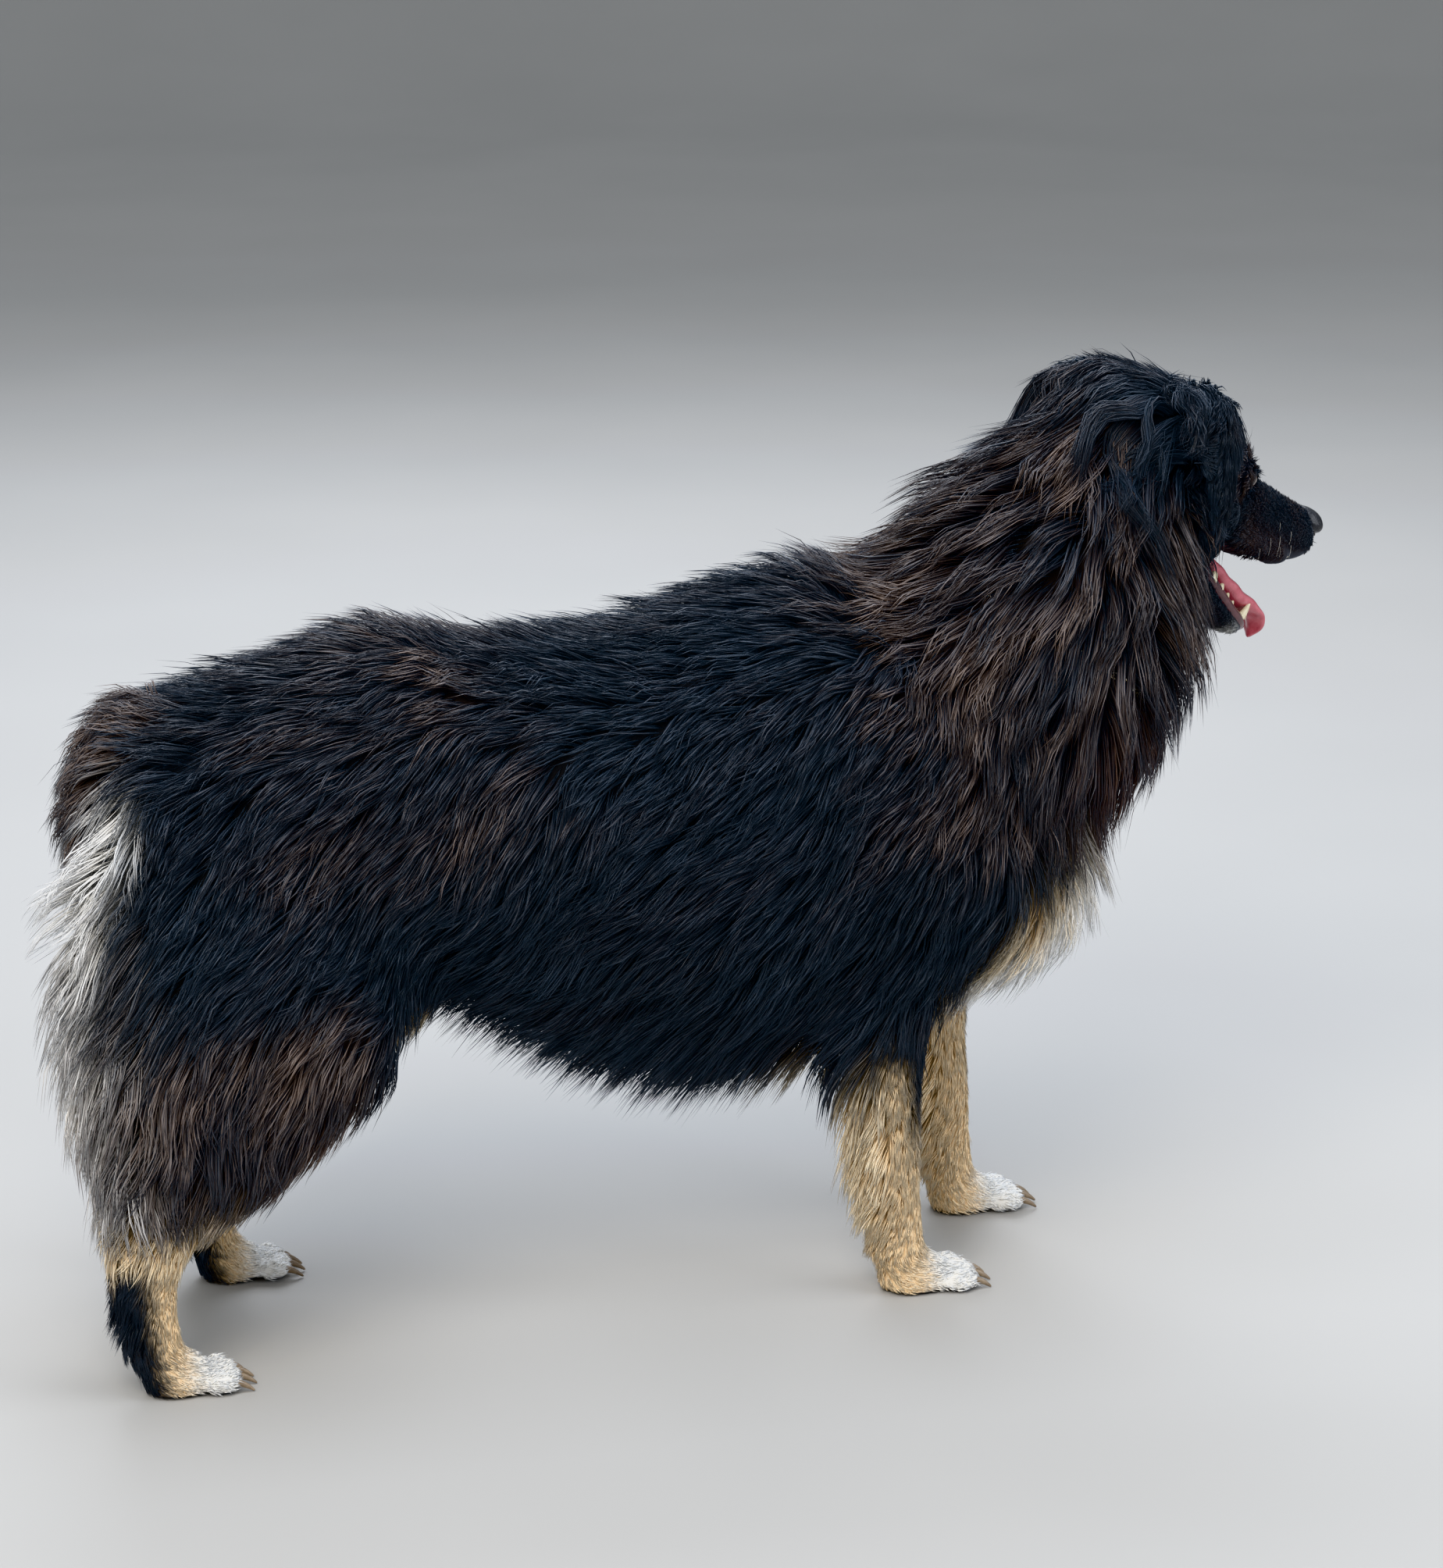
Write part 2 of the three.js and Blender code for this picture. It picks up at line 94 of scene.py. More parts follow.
def linear(code: str) -> tuple[float, float, float, float]:
    """Turns an sRGB hex colour to linear light.

    Args:
        code: Six hex digits after a hash.

    Returns:
        Red, green, blue and full alpha.
    """
    parts = [int(code[i : i + 2], 16) / 255 for i in (1, 3, 5)]
    lit = [p / 12.92 if p <= 0.04045 else ((p + 0.055) / 1.055) ** 2.4 for p in parts]
    return (*lit, 1.0)


def add_node(tree: Tree, kind: str, inputs: dict | None = None, out: int | str = 0, **settings) -> Socket:
    """Adds a shader node with its settings, its input values and the links into it.

    Args:
        tree: The material's node tree.
        kind: The node's type, without its common prefix.
        inputs: Input names or numbers, each with a value, a hex colour or the socket that feeds it.
        out: Which of its outputs is wanted.
        **settings: The node's own properties.

    Returns:
        The wanted output.
    """
    node = tree.nodes.new("ShaderNode" + kind)
    for name, value in settings.items():
        setattr(node, name, value)
    for name, value in (inputs or {}).items():
        if isinstance(value, Socket):
            tree.links.new(value, node.inputs[name])
        else:
            node.inputs[name].default_value = linear(value) if isinstance(value, str) else value
    return node.outputs[out]


def new_material(name: str) -> tuple[Material, Tree]:
    """Makes a material with nothing but its output, and gives its node tree too."""
    material = bpy.data.materials.new(name)
    material.use_nodes = True
    material.node_tree.nodes.clear()
    material.node_tree.nodes.new("ShaderNodeOutputMaterial")
    return material, material.node_tree


def put_out(tree: Tree, inputs: dict) -> None:
    """Ends a material with its shader."""
    shader = add_node(tree, "BsdfPrincipled", inputs)
    tree.links.new(shader, tree.nodes["Material Output"].inputs["Surface"])


def dress(piece: Piece, material: Material) -> None:
    """Gives a piece its one material."""
    piece.data.materials.clear()
    piece.data.materials.append(material)


def as_object(name: str, data: bpy.types.ID) -> Piece:
    """Links a mesh, a lamp or a camera to the scene as an object."""
    made = bpy.data.objects.new(name, data)
    bpy.context.scene.collection.objects.link(made)
    return made


def from_bmesh(name: str, shape: Shape, smooth: bool = True) -> Piece:
    """Makes an object of a bmesh and frees the bmesh.

    Args:
        name: The object's name.
        shape: The shape, in place.
        smooth: Whether its faces are shaded smooth.

    Returns:
        The object.
    """
    mesh = bpy.data.meshes.new(name)
    shape.to_mesh(mesh)
    shape.free()
    if smooth:
        mesh.shade_smooth()
    return as_object(name, mesh)


def finished_mesh(made: Piece) -> Mesh:
    """Applies an object's modifiers and returns the resulting mesh."""
    graph = bpy.context.evaluated_depsgraph_get()
    return bpy.data.meshes.new_from_object(made.evaluated_get(graph))


def mesh_of(name: str, points: Array, triangles: Array) -> Mesh:
    """Makes a smooth-shaded mesh from arrays."""
    mesh = bpy.data.meshes.new(name)
    mesh.vertices.add(len(points))
    mesh.vertices.foreach_set("co", np.ascontiguousarray(points, np.float32).ravel())
    mesh.loops.add(triangles.size)
    mesh.loops.foreach_set("vertex_index", np.ascontiguousarray(triangles, np.int32).ravel())
    mesh.polygons.add(len(triangles))
    mesh.polygons.foreach_set("loop_start", np.arange(0, triangles.size, 3, dtype=np.int32))
    mesh.update(calc_edges=True)
    mesh.shade_smooth()
    return mesh


def read(items: bpy.types.bpy_prop_collection, name: str, width: int, kind: type) -> Array:
    """Reads one property of a mesh's vertices, edges or corners, in rows of a width."""
    values = np.empty(len(items) * width, kind)
    items.foreach_get(name, values)
    return values.reshape(-1, width)


def move(mesh: Mesh, points: Array) -> None:
    """Moves a mesh's points."""
    mesh.vertices.foreach_set("co", points.astype(np.float32).ravel())
    mesh.update()


def write(mesh: Mesh, values: dict[str, Array]) -> None:
    """Writes named values to a mesh's points."""
    for name, numbers in values.items():
        layer = mesh.attributes.new(name, "FLOAT", "POINT")
        layer.data.foreach_set("value", np.ascontiguousarray(numbers, np.float32))


def fitted(piece: Piece, nodes: list[str] | None = None) -> Piece:
    """Fits a finished piece to the model and reports it.

    Args:
        piece: The piece, in place.
        nodes: The CAD nodes that it takes the place of.

    Returns:
        The piece.
    """
    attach(piece, BODY)
    if nodes:
        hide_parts(*nodes)
    LOG.info("%s: %d faces", piece.name, len(piece.data.polygons))
    return piece


def point_tree(points: Array) -> KDTree:
    """A tree that finds the nearest of some points."""
    tree = KDTree(len(points))
    for i, place in enumerate(points.tolist()):
        tree.insert(place, i)
    tree.balance()
    return tree


def ramp(value: Array, low: float, high: float) -> Array:
    """A smooth rise from 0 at low to 1 at high; low may be the larger."""
    t = np.clip((value - low) / (high - low), 0.0, 1.0)
    return t * t * (3 - 2 * t)


def unit(vectors: Array) -> Array:
    """The vectors at length 1."""
    return vectors / np.maximum(np.linalg.norm(vectors, axis=-1, keepdims=True), 1e-9)


def most(*shares: Array) -> Array:
    """The largest of some shares at each point."""
    return np.maximum.reduce(shares)


def mix(a: Array, b: Array, share: Array) -> Array:
    """Blends a into b by a share, one share for each row where a and b hold vectors."""
    if np.ndim(share) == 1 and 2 in (np.ndim(a), np.ndim(b)):
        share = share[:, None]
    return a * (1 - share) + b * share


def transformed(points: Array, matrix: Matrix) -> Array:
    """The points moved by a 4 by 4 matrix."""
    m = np.array(matrix)
    return points @ m[:3, :3].T + m[:3, 3]


def turned(vectors: Array, matrix: Matrix) -> Array:
    """The vectors turned by a matrix's rotation."""
    return vectors @ np.array(matrix)[:3, :3].T


def noise(points: Array, size: float, seed: int) -> Array:
    """Smooth noise made of a few turned waves.

    Args:
        points: Places, one in each row.
        size: The distance between one patch and the next.
        seed: Which noise it is.

    Returns:
        A value from about -1 to 1 for each point.
    """
    rng = np.random.default_rng(seed)
    total = np.zeros(len(points))
    for octave in range(7):
        way = unit(rng.normal(size=3))
        count = 2 * math.pi / size * (0.7 + 0.22 * octave)
        bend = 1.3 * np.sin(points @ unit(rng.normal(size=3)) * count * 0.6 + rng.uniform(0, 6.3))
        total += np.sin(points @ way * count + bend + rng.uniform(0, 6.3))
    return total / 3.2


def lofted(
    shape: Shape,
    stations: list[tuple[float, ...]],
    place: Matrix,
    sides: int = 16,
    rings: int = 20,
    up: Place = (0.0, 0.0, 1.0),
    power: float = 2.0,
    ends: tuple[float, float] = (0.15, 0.15),
    taper: float = 0.0,
) -> list[bmesh.types.BMVert]:
    """Bends a new sphere into a rounded body along a smooth line.

    Args:
        shape: The bmesh that the body is added to.
        stations: (x, y, z, half width, half height) along the line.
        place: Where the body's own frame lies.
        sides: Sides of a section.
        rings: Sections along the line.
        up: The way that the height is measured.
        power: 2 for round sections, more for squarer ones.
        ends: The share of the length that is rounded at the start and the end.
        taper: How much narrower a section is at its top than at its middle.

    Returns:
        The new vertices.
    """
    table = np.array(stations, float)
    made = bmesh.ops.create_uvsphere(shape, u_segments=sides, v_segments=rings, radius=1.0)["verts"]
    spot = np.linspace(0, 1, len(table))
    fine = np.linspace(0, 1, 101)
    curve = np.stack([smooth_table(spot, table[:, i], fine) for i in range(table.shape[1])], axis=1)
    ahead = unit(np.gradient(curve[:, :3], axis=0))
    left = unit(np.cross(np.array(up), ahead))
    top = np.cross(ahead, left)
    for vert in made:
        t = math.acos(max(-1.0, min(1.0, -vert.co.z))) / math.pi
        t = 0.5 * t + 0.25 * (1 - math.cos(math.pi * t))
        from_start = min(1.0, t / ends[0]) if ends[0] else 1.0
        from_end = min(1.0, (1 - t) / ends[1]) if ends[1] else 1.0
        share = math.sqrt(max(0.0, (1 - (1 - from_start) ** 2) * (1 - (1 - from_end) ** 2)))
        angle = math.atan2(vert.co.y, vert.co.x)
        row = t * 100
        low = min(99, int(row))
        at = curve[low] + (curve[low + 1] - curve[low]) * (row - low)
        across, rise = math.cos(angle), math.sin(angle)
        across = math.copysign(abs(across) ** (2 / power), across) * at[3] * share
        rise = math.copysign(abs(rise) ** (2 / power), rise)
        across *= 1 - taper * max(0.0, rise)
        rise *= at[4] * share
        co = at[:3] + left[low] * across + top[low] * rise
        vert.co = place @ Vector(co)
    return made


def smooth_table(at: Array, values: Array, where: Array) -> Array:
    """A smooth curve through a table's values, read at new places."""
    slope = np.gradient(values, at)
    i = np.clip(np.searchsorted(at, where) - 1, 0, len(at) - 2)
    width = at[i + 1] - at[i]
    t = (where - at[i]) / width
    a, b = values[i], values[i + 1]
    m, n = slope[i] * width, slope[i + 1] * width
    rise = a * (2 * t**3 - 3 * t**2 + 1) + m * (t**3 - 2 * t**2 + t)
    return rise + b * (3 * t**2 - 2 * t**3) + n * (t**3 - t**2)


def egg(shape: Shape, half: tuple, at: tuple, place: Matrix, turn: Matrix | None = None) -> None:
    """Adds an ellipsoid with its half axes and middle, in the frame of place."""
    stretch = Matrix.Diagonal((*half, 1.0))
    lie = Matrix.Translation(at) @ (turn if turn is not None else Matrix()) @ stretch
    bmesh.ops.create_uvsphere(shape, u_segments=20, v_segments=14, radius=1.0, matrix=place @ lie)


# ---- the dog's own frames


class Side(Enum):
    """A side of the dog, with its sign along Y."""

    LEFT = 1
    RIGHT = -1

    @property
    def word(self) -> str:
        """The side's name in a node's name."""
        return self.name.lower()


class Part(Enum):
    """The parts of the body that carry different hair."""

    TRUNK = 0
    NECK = 1
    HEAD = 2
    EAR = 3
    JAW = 4
    TAIL = 5
    THIGH = 6
    HOCK = 7
    FORELEG = 8
    PAW = 9


PART_NODES = {
    Part.TRUNK: ["trunk"],
    Part.NECK: ["neck"],
    Part.HEAD: ["head"],
    Part.EAR: ["ear_left", "ear_right"],
    Part.JAW: ["jaw"],
    Part.TAIL: ["tail"],
    Part.THIGH: ["thigh_left", "thigh_right"],
    Part.HOCK: ["hock_left", "hock_right"],
    Part.FORELEG: ["foreleg_left", "foreleg_right"],
    Part.PAW: ["fore_paw_left", "fore_paw_right", "hind_paw_left", "hind_paw_right"],
}


@dataclass(frozen=True)
class HeadFrame:
    """The head's own frame: +X to the nose, +Y to its left, +Z to its crown."""

    turn: float = 20.0
    drop: float = 27.0
    eyes_ahead: float = 0.048
    eyes_above: float = 0.006
    jaw_hinge: Place = (0.0, 0.0, -0.042)
    jaw_open: float = 22.0

    def centre(self, node: str) -> Vector:
        """The middle of a CAD node's box."""
        low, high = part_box(node)
        return (low + high) / 2

    def matrix(self) -> Matrix:
        """The head's frame, found from the two eyeballs."""
        turn = Matrix.Rotation(math.radians(self.turn), 4, "Z")
        drop = Matrix.Rotation(math.radians(self.drop), 4, "Y")
        between = (self.centre("eye_left") + self.centre("eye_right")) / 2
        rotation = turn @ drop
        origin = between - rotation.to_3x3() @ Vector((self.eyes_ahead, 0, self.eyes_above))
        return Matrix.Translation(origin) @ rotation

    def jaw(self) -> Matrix:
        """The lower jaw's frame, hinged open in the head's frame."""
        hinge = Matrix.Translation(self.jaw_hinge)
        return self.matrix() @ hinge @ Matrix.Rotation(math.radians(self.jaw_open), 4, "Y")


HEAD = HeadFrame()


# ---- the shapes under the coat


@dataclass(frozen=True)
class Limbs:
    """Legs without their hair, from a paw's middle: (x, inwards, z, half width, half depth)."""

    foreleg: tuple = (
        (-0.022, 0.0, 0.01, 0.02, 0.022), (-0.026, 0.0, 0.045, 0.0185, 0.019),
        (-0.03, 0.0, 0.085, 0.019, 0.02), (-0.033, -0.001, 0.11, 0.0205, 0.0225),
        (-0.036, -0.003, 0.15, 0.02, 0.0215), (-0.04, -0.004, 0.195, 0.024, 0.027),
        (-0.044, -0.004, 0.235, 0.029, 0.036), (-0.04, 0.006, 0.29, 0.034, 0.046),
        (-0.03, 0.016, 0.35, 0.034, 0.052),
    )
    hind_leg: tuple = (
        (-0.02, 0.0, 0.01, 0.019, 0.021), (-0.027, 0.0, 0.04, 0.017, 0.018),
        (-0.03, 0.001, 0.075, 0.0165, 0.019), (-0.03, 0.001, 0.105, 0.0185, 0.0235),
        (-0.016, 0.002, 0.135, 0.019, 0.025), (0.01, 0.006, 0.175, 0.025, 0.032),
        (0.036, 0.012, 0.225, 0.036, 0.048), (0.05, 0.018, 0.28, 0.045, 0.062),
    )
    heel: tuple = (
        (-0.04, 0.001, 0.07, 0.009, 0.009), (-0.046, 0.001, 0.105, 0.011, 0.013),
        (-0.044, 0.001, 0.128, 0.011, 0.012), (-0.03, 0.002, 0.16, 0.009, 0.009),
    )


LIMBS = Limbs()

# The neck without its ruff: (x, y, z, half width, half height).
NECK_LINE = (
    (0.08, 0.0, 0.395, 0.085, 0.125),
    (0.17, 0.0, 0.445, 0.095, 0.12),
    (0.24, 0.004, 0.508, 0.09, 0.105),
    (0.298, 0.014, 0.562, 0.077, 0.086),
    (0.345, 0.026, 0.6, 0.068, 0.072),
    (0.385, 0.036, 0.622, 0.056, 0.06),
)


@dataclass(frozen=True)
class Face:
    """The head without its hair, in the head's frame: (x, y, z, half width, half height)."""

    cranium: tuple = (
        (-0.135, 0, -0.016, 0.04, 0.044), (-0.1, 0, -0.013, 0.053, 0.053),
        (-0.06, 0, -0.0105, 0.058, 0.0575), (-0.03, 0, -0.0085, 0.059, 0.0595),
        (-0.004, 0, -0.0065, 0.0565, 0.059), (0.02, 0, -0.0068, 0.05, 0.0535),
        (0.04, 0, -0.0095, 0.04, 0.044), (0.06, 0, -0.0145, 0.029, 0.0305),
    )
    muzzle: tuple = (
        (0.01, 0, -0.018, 0.043, 0.03), (0.044, 0, -0.0168, 0.0375, 0.0338),
        (0.072, 0, -0.0165, 0.0305, 0.031), (0.104, 0, -0.0172, 0.0268, 0.0298),
        (0.134, 0, -0.014, 0.024, 0.0255), (0.152, 0, -0.01, 0.0205, 0.021),
        (0.163, 0, -0.0063, 0.0158, 0.0148),
    )
    jaw: tuple = (
        (-0.016, 0, -0.025, 0.038, 0.02), (0.03, 0, -0.0215, 0.0335, 0.0146),
        (0.064, 0, -0.02, 0.028, 0.0128), (0.095, 0, -0.0185, 0.023, 0.0112),
        (0.122, 0, -0.0125, 0.0192, 0.0102), (0.143, 0, -0.0062, 0.0125, 0.0078),
    )
    palate: tuple = (
        (0.018, 0, -0.054, 0.0205, 0.02), (0.07, 0, -0.053, 0.0205, 0.0205),
        (0.11, 0, -0.051, 0.0185, 0.02), (0.152, 0, -0.048, 0.0135, 0.02),
    )
    trough: tuple = (
        (0.018, 0, 0.002, 0.019, 0.013), (0.064, 0, 0.001, 0.0185, 0.013),
        (0.1, 0, 0.002, 0.0155, 0.0125), (0.137, 0, 0.007, 0.0085, 0.0105),
    )
    # (half axes, place) of the folds of one side
    folds: tuple = (
        ((0.03, 0.008, 0.014), (0.106, 0.0205, -0.034)),
        ((0.03, 0.007, 0.0115), (0.076, 0.0275, -0.0385)),
        ((0.014, 0.005, 0.019), (0.035, 0.0325, -0.054)),
        ((0.052, 0.013, 0.026), (-0.008, 0.045, -0.03)),
        ((0.021, 0.015, 0.014), (0.041, 0.024, 0.008)),
        ((0.015, 0.011, 0.007), (0.048, 0.0225, 0.0155)),
        ((0.032, 0.011, 0.01), (0.026, 0.031, -0.014)),
    )
    throat: tuple = ((0.062, 0.049, 0.05), (-0.05, 0, -0.054))
    eyeball_room: float = 0.0106

    def model(self, shape: Shape, head: Matrix, jaw: Matrix) -> None:
        """Adds the head's closed shapes, which are then melted together."""
        lofted(shape, self.cranium, head, sides=32, rings=36, ends=(0.12, 0.1))
        lofted(shape, self.muzzle, head, sides=32, rings=36, ends=(0.1, 0.08), power=2.4, taper=0.22)
        lofted(shape, self.jaw, jaw, sides=28, rings=30, ends=(0.15, 0.14), power=2.3)
        egg(shape, *self.throat, head)
        for half, (x, y, z) in self.folds:
            for side in Side:
                egg(shape, half, (x, side.value * y, z), head)

    def hollows(self, shape: Shape, head: Matrix, jaw: Matrix) -> None:
        """Adds what is cut out of the head: the roof of the mouth, the tongue's bed and the orbits."""
        lofted(shape, self.palate, head, sides=24, rings=24, ends=(0.12, 0.16), power=2.4)
        lofted(shape, self.trough, jaw, sides=24, rings=24, ends=(0.12, 0.16), power=2.4)
        room = (self.eyeball_room,) * 3
        for side in Side:
            at = head.inverted() @ HEAD.centre("eye_" + side.word)
            egg(shape, room, tuple(at), head)


FACE = Face()


# ---- the skin


@dataclass(frozen=True)
class Surface:
    """A triangle mesh as arrays."""

    points: Array
    normals: Array
    triangles: Array
    edges: Array

    @staticmethod
    def of(mesh: Mesh) -> "Surface":
        """Reads a mesh.

        Args:
            mesh: A mesh of any faces.

        Returns:
            Its surface, cut into triangles.
        """
        mesh.calc_loop_triangles()
        return Surface(
            read(mesh.vertices, "co", 3, np.float32).astype(float),
            read(mesh.vertices, "normal", 3, np.float32).astype(float),
            read(mesh.loop_triangles, "vertices", 3, np.int32),
            read(mesh.edges, "vertices", 2, np.int32),
        )

    def smoothed(self, values: Array, rounds: int, share: float = 0.5) -> Array:
        """Spreads values over the surface.

        Args:
            values: One value or vector for each point.
            rounds: How often each point moves towards its neighbours' mean.
            share: How far it moves each time.

        Returns:
            The smoothed values.
        """
        a, b = self.edges[:, 0], self.edges[:, 1]
        count = len(self.points)
        degree = np.maximum(np.bincount(a, minlength=count) + np.bincount(b, minlength=count), 1)
        columns = values.reshape(count, -1).astype(float).copy()
        for _ in range(rounds):
            for c in range(columns.shape[1]):
                column = columns[:, c]
                total = np.bincount(a, weights=column[b], minlength=count)
                total += np.bincount(b, weights=column[a], minlength=count)
                columns[:, c] = column * (1 - share) + share * total / degree
        return columns.reshape(values.shape)


def solids(parts: list[Part]) -> tuple[BVHTree, Array]:
    """Gathers the CAD solids of some parts of the body.

    Args:
        parts: The parts.

    Returns:
        A tree of their triangles, and the number of each triangle's part.
    """
    vertices, triangles, owner, count = [], [], [], 0
    for part in parts:
        for node in PART_NODES[part]:
            found = Surface.of(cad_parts[node].data)
            triangles.append(found.triangles + count)
            owner.append(np.full(len(found.triangles), part.value))
            vertices.append(found.points)
            count += len(found.points)
    tree = BVHTree.FromPolygons(np.concatenate(vertices).tolist(), np.concatenate(triangles).tolist())
    return tree, np.concatenate(owner)


@dataclass
class Skin:
    """The dog's one skin, under the coat and bare at the mouth and lids."""

    body_voxel: float = 0.008
    limb_voxel: float = 0.0042
    head_voxel: float = 0.0025
    surface: Surface | None = None
    piece: Piece | None = None
    head: Matrix = field(default_factory=HEAD.matrix)
    jaw: Matrix = field(default_factory=HEAD.jaw)

    def flesh(self, shape: Shape, nodes: list[str]) -> None:
        """Adds merged copies of CAD nodes to a bmesh."""
        for node in nodes:
            shape.from_mesh(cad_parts[node].data)
        bmesh.ops.remove_doubles(shape, verts=shape.verts[:], dist=1e-5)

    def remeshed(self, shape: Shape, voxel: float, rounds: int) -> tuple[Mesh, Surface, Array]:
        """Melts closed shapes into one even mesh and smooths it.

        Args:
            shape: The closed shapes.
            voxel: The size of the new faces.
            rounds: Rounds of smoothing.

        Returns:
            The mesh, its surface and its smoothed points.
        """
        clay = from_bmesh("clay", shape, smooth=False)
        melt = clay.modifiers.new("melt", "REMESH")
        melt.mode = "VOXEL"
        melt.voxel_size = voxel
        mesh = finished_mesh(clay)
        bpy.data.objects.remove(clay)
        surface = Surface.of(mesh)
        points = surface.points
        for _ in range(rounds):
            points = surface.smoothed(points, 1, 0.6)
            points = points + (points - surface.smoothed(points, 1, 0.6)) * 0.85
        move(mesh, points)
        return mesh, Surface.of(mesh), points

    def settled(self, mesh: Mesh, surface: Surface, depth: Array, spread: int, name: str) -> Piece:
        """Moves a mesh inwards by the coat's depth.

        Args:
            mesh: The melted mesh.
            surface: Its surface.
            depth: The depth at each point.
            spread: Rounds over which the depth is evened out.
            name: The object's name.

        Returns:
            The shell as an object.
        """
        even = surface.smoothed(depth, spread)
        inward = unit(surface.smoothed(surface.normals, 4))
        points = surface.points - inward * even[:, None]
        move(mesh, surface.smoothed(points, 2, 0.4))
        return as_object(name, mesh)

    def nearest_part(self, points: Array, parts: list[Part]) -> Array:
        """The number of the CAD part, out of some, that lies nearest to each point."""
        tree, owners = solids(parts)
        return owners[[tree.find_nearest(p)[2] for p in points.tolist()]]

    def body_shell(self) -> Piece:
        """The shell of trunk, neck, thighs and tail, deep under long hair."""
        shape = bmesh.new()
        parts = [Part.TRUNK, Part.NECK, Part.THIGH, Part.TAIL]
        self.flesh(shape, [n for p in parts for n in PART_NODES[p]])
        egg(shape, (0.105, 0.1, 0.105), (0.325, 0.024, 0.56), Matrix())
        mesh, surface, points = self.remeshed(shape, self.body_voxel, 14)
        label = self.nearest_part(points, parts)
        normals = surface.normals
        depth = np.choose(label, [0.026, 0.046, 0, 0, 0, 0.021, 0.019, 0, 0, 0])
        trunk, thigh = label == Part.TRUNK.value, label == Part.THIGH.value
        belly = ramp(-normals[:, 2], 0.2, 0.8) * trunk
        chest = ramp(points[:, 0], 0.21, 0.3) * trunk
        rear = ramp(-normals[:, 0], 0.1, 0.8) * thigh
        inner = ramp(-normals[:, 1] * np.sign(points[:, 1]), 0.1, 0.7) * thigh
        depth = depth + 0.014 * belly + 0.016 * chest + 0.022 * rear - 0.008 * inner
        return self.settled(mesh, surface, depth, 12, "shell_body")

    def neck_shell(self) -> Piece:
        """The neck under its ruff, from between the shoulders into the back of the head."""
        shape = bmesh.new()
        lofted(shape, NECK_LINE, Matrix(), sides=44, rings=44, ends=(0.2, 0.2))
        bmesh.ops.triangulate(shape, faces=shape.faces[:])
        bmesh.ops.recalc_face_normals(shape, faces=shape.faces[:])
        return from_bmesh("shell_neck", shape)

    def limb_shell(self) -> Piece:
        """The shell of the lower legs and paws, close under short hair."""
        shape = bmesh.new()
        self.flesh(shape, PART_NODES[Part.PAW])
        for side in Side:
            self.limb(shape, "fore_paw_" + side.word, side, LIMBS.foreleg)
            self.limb(shape, "hind_paw_" + side.word, side, LIMBS.hind_leg)
            self.limb(shape, "hind_paw_" + side.word, side, LIMBS.heel)
        mesh, surface, points = self.remeshed(shape, self.limb_voxel, 3)
        paw = ramp(points[:, 2], 0.04, 0.02)
        return self.settled(mesh, surface, 0.0018 * paw, 3, "shell_limbs")

    def limb(self, shape: Shape, paw: str, side: Side, stations: tuple) -> None:
        """Adds a leg that rises from a paw, with its stations measured from the paw's middle."""
        low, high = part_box(paw)
        middle = Matrix.Translation(((low.x + high.x) / 2, (low.y + high.y) / 2, 0))
        leaned = [(x, -side.value * y, *rest) for x, y, *rest in stations]
        lofted(shape, leaned, middle, sides=20, rings=28, up=(1, 0, 0), ends=(0.06, 0.1))

    def cut(self, mesh: Mesh, cutter: Shape) -> Shape:
        """Takes closed shapes out of a closed mesh.

        Args:
            mesh: The mesh to cut.
            cutter: What is taken away.

        Returns:
            What is left.
        """
        body, knife = as_object("body", mesh), from_bmesh("knife", cutter, smooth=False)
        take = body.modifiers.new("take", "BOOLEAN")
        take.operation = "DIFFERENCE"
        take.solver = "EXACT"
        take.use_self = True
        take.object = knife
        left = finished_mesh(body)
        bpy.data.objects.remove(body)
        bpy.data.objects.remove(knife)
        shape = bmesh.new()
        shape.from_mesh(left)
        return shape

    def head_shell(self) -> Piece:
        """The shell of head, jaw and ears, with the face's folds modelled on."""
        shape = bmesh.new()
        self.flesh(shape, PART_NODES[Part.EAR])
        FACE.model(shape, self.head, self.jaw)
        mesh, _, _ = self.remeshed(shape, self.head_voxel, 1)
        cutter = bmesh.new()
        FACE.hollows(cutter, self.head, self.jaw)
        mesh, surface, points = self.remeshed(self.cut(mesh, cutter), self.head_voxel, 5)
        label = self.nearest_part(points, [Part.HEAD, Part.JAW, Part.EAR])
        depth = np.where(label == Part.EAR.value, 0.0013, 0.0)
        return self.settled(mesh, surface, depth, 4, "shell_head")

    def build(self) -> Piece:
        """Joins the shells into one skin.

        Returns:
            The skin.
        """
        shells = [self.body_shell(), self.neck_shell(), self.limb_shell(), self.head_shell()]
        shells += [EYES.lid_rim(side) for side in Side]
        skin = shells[0]
        for shell in shells[1:]:
            join = skin.modifiers.new("join", "BOOLEAN")
            join.operation = "UNION"
            join.solver = "MANIFOLD"
            join.object = shell
        mesh = finished_mesh(skin)
        for shell in shells:
            bpy.data.objects.remove(shell)
        mesh.name = "skin"
        self.piece = as_object("skin", mesh)
        self.tidy(mesh)
        self.unwrap()
        self.surface = Surface.of(mesh)
        return self.piece

    def tidy(self, mesh: Mesh) -> None:
        """Merges the slivers that joining leaves and cuts every face into triangles."""
        shape = bmesh.new()
        shape.from_mesh(mesh)
        bmesh.ops.dissolve_degenerate(shape, dist=2e-5, edges=shape.edges[:])
        bmesh.ops.triangulate(shape, faces=shape.faces[:])
        shape.to_mesh(mesh)
        shape.free()
        mesh.shade_smooth()

